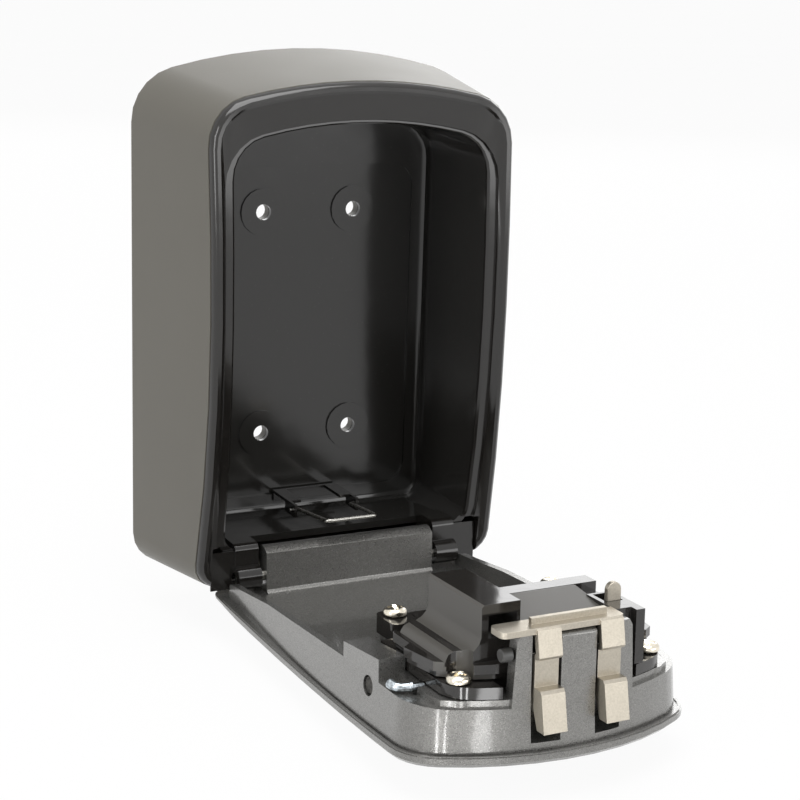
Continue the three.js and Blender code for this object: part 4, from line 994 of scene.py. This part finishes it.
class SAFE_OT_screws(bpy.types.Operator):
    """Dress the housing screws"""

    bl_idname = "key_safe.screws"
    bl_label = "Screws"

    def execute(self, context):
        sizes = context.scene.safe_sizes
        nodes = [f"housing_screw_{i}" for i in range(1, 5)]
        seats = []
        for node in nodes:
            low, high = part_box(node)
            middle = ((low[0] + high[0]) / 2, (low[1] + high[1]) / 2)
            seats.append((*middle, high[2] - SCREW_HEAD * MM))
        points = bpy.data.meshes.new("housing_screws")
        points.from_pydata(seats, [], [])
        piece = link_piece("housing_screws", points)
        screw = pan_screw(sizes.screw_recess / MM)
        run_tree(piece, screw_row_tree(), {
            "Screw": screw,
            "Lean": OPEN_ANGLE - math.pi / 2,
            "Seed": 4,
            "Finish": FINISHES["screw"],
        })
        bpy.data.objects.remove(screw)
        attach(piece, frame["nodes"][nodes[0]]["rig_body"])
        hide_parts(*nodes)
        return {"FINISHED"}


class SAFE_OT_stage(bpy.types.Operator):
    """Make the floor, the backdrop, the lamps and the camera"""

    bl_idname = "key_safe.stage"
    bl_label = "Stage"

    def execute(self, context):
        paper_sweep()
        make_world()
        make_lamps()
        make_camera()
        return {"FINISHED"}


def paper_sweep():
    """A pale floor that curves up behind the safe, in metres."""
    reach, back, bend = 6.0, 3.0, 1.0
    profile = [(-reach, FLOOR_Z), (back - bend, FLOOR_Z)]
    for k in range(1, 9):
        turn = math.pi / 2 * k / 8
        profile.append((back - bend + math.sin(turn), FLOOR_Z + bend - math.cos(turn)))
    profile.append((back, FLOOR_Z + reach))
    shape = bmesh.new()
    rows = [[shape.verts.new((x, y, z)) for y, z in profile] for x in (-reach, reach)]
    for i in range(len(profile) - 1):
        shape.faces.new((rows[0][i], rows[1][i], rows[1][i + 1], rows[0][i + 1]))
    mesh = bpy.data.meshes.new("paper_sweep")
    shape.to_mesh(mesh)
    shape.free()
    sweep = link_piece("paper_sweep", mesh)
    mesh.materials.append(paper_white("paper_white", 0.94))


def make_world():
    """A soft white surround, which gloss and the camera see as plain white."""
    world = bpy.data.worlds.new("soft_surround")
    bpy.context.scene.world = world
    world.use_nodes = True
    tree = world.node_tree
    tree.nodes.clear()
    light = add_node(tree, "ShaderNodeBackground", {"Color": WHITE, "Strength": 0.45})
    seen = add_node(tree, "ShaderNodeBackground", {"Color": WHITE, "Strength": 1.0})
    blend = add_node(tree, "ShaderNodeMixShader", {
        0: seen_or_glossy(tree), 1: light.outputs[0], 2: seen.outputs[0],
    })
    add_node(tree, "ShaderNodeOutputWorld", {"Surface": blend.outputs[0]})


def seen_or_glossy(tree):
    """1 where the camera or a reflection looks, else 0."""
    path = add_node(tree, "ShaderNodeLightPath")
    either = add_node(tree, "ShaderNodeMath", operation="MAXIMUM", inputs={
        0: path.outputs["Is Camera Ray"], 1: path.outputs["Is Glossy Ray"],
    })
    return either.outputs[0]


def area_light(name, width, height, watts):
    """A rectangular light that the camera doesn't see."""
    data = bpy.data.lights.new(name, "AREA")
    data.shape = "RECTANGLE"
    data.size = width
    data.size_y = height
    data.energy = watts
    light = link_piece(name, data)
    light.visible_camera = False
    return light


def softbox(name, place, size, watts):
    """One softbox, aimed at the middle of the safe."""
    lamp = area_light(name, *size, watts)
    lamp.location = place
    aim = SAFE_MIDDLE - Vector(place)
    lamp.rotation_euler = aim.to_track_quat("-Z", "Y").to_euler()


def floor_glow(name, near, far, width, watts):
    """A narrow light just over the floor, facing up, which gloss on the casting mirrors."""
    along = Vector(far) - Vector(near)
    glow = area_light(name, width, along.length, watts)
    middle = (Vector(near) + Vector(far)) / 2
    down = Vector((0, 0, -1))
    run = along.to_3d().normalized()
    turn = Matrix((run.cross(down), run, down)).transposed().to_4x4()
    glow.matrix_world = Matrix.Translation((middle.x, middle.y, FLOOR_Z + GLOW_HEIGHT)) @ turn
    glow.visible_diffuse = False


def make_lamps():
    """One box overhead, a tall one on the left, one at the front right and one behind."""
    softbox("top_box", (-0.1, -0.25, 1.15), (0.9, 0.9), 11)
    softbox("left_box", (-1.1, -0.42, 0.3), (0.22, 0.9), 3.4)
    softbox("front_box", (0.7, -1.2, 0.2), (1.2, 0.5), 4.5)
    softbox("back_box", (0.62, 1.1, 0.44), (1.5, 0.4), 4.4)
    floor_glow("corner_glow", (-0.061, -0.176), (-0.120, -0.223), 0.0045, 0.015)
    floor_glow("second_glow", (-0.054, -0.184), (-0.098, -0.247), 0.0045, 0.015)
    floor_glow("front_glow", (-0.034, -0.195), (-0.048, -0.275), 0.014, 0.02)


def make_camera():
    """The fitted camera."""
    data = bpy.data.cameras.new("fitted_camera")
    data.sensor_width = SENSOR_MM
    data.lens = FOCAL_PX * SENSOR_MM / FRAME_PX
    data.clip_start = 0.01
    data.clip_end = 50
    camera = link_piece("fitted_camera", data)
    back = -LOOK
    right = (RIGHT - RIGHT.project(back)).normalized()
    up = back.cross(right)
    turn = Matrix((right, up, back)).transposed().to_4x4()
    camera.matrix_world = Matrix.Translation(EYE) @ turn
    bpy.context.scene.camera = camera


class SAFE_PT_panel(bpy.types.Panel):
    """Lists the steps"""

    bl_idname = "SAFE_PT_panel"
    bl_label = "Key Safe"
    bl_space_type = "VIEW_3D"
    bl_region_type = "UI"
    bl_category = "Key Safe"

    def draw(self, context):
        for step in STEPS:
            self.layout.operator(step.bl_idname)
        for name in SafeColours.__annotations__:
            self.layout.prop(context.scene.safe_colours, name)
        for name in SafeSizes.__annotations__:
            self.layout.prop(context.scene.safe_sizes, name)


STEPS = (
    SAFE_OT_finishes,
    SAFE_OT_body,
    SAFE_OT_door,
    SAFE_OT_housing,
    SAFE_OT_latch,
    SAFE_OT_front,
    SAFE_OT_screws,
    SAFE_OT_stage,
)
CLASSES = (SafeColours, SafeSizes) + STEPS + (SAFE_PT_panel,)


def register():
    """Adds the classes and the scene's settings."""
    for cls in CLASSES:
        bpy.utils.register_class(cls)
    bpy.types.Scene.safe_colours = bpy.props.PointerProperty(type=SafeColours)
    bpy.types.Scene.safe_sizes = bpy.props.PointerProperty(type=SafeSizes)


def unregister():
    """Takes them away again."""
    del bpy.types.Scene.safe_colours
    del bpy.types.Scene.safe_sizes
    for cls in reversed(CLASSES):
        bpy.utils.unregister_class(cls)


def main():
    """Dresses the whole safe."""
    register()
    bpy.context.scene.view_settings.view_transform = "Standard"
    for step in STEPS:
        group, name = step.bl_idname.split(".")
        getattr(getattr(bpy.ops, group), name)()


if __name__ == "__main__":
    main()
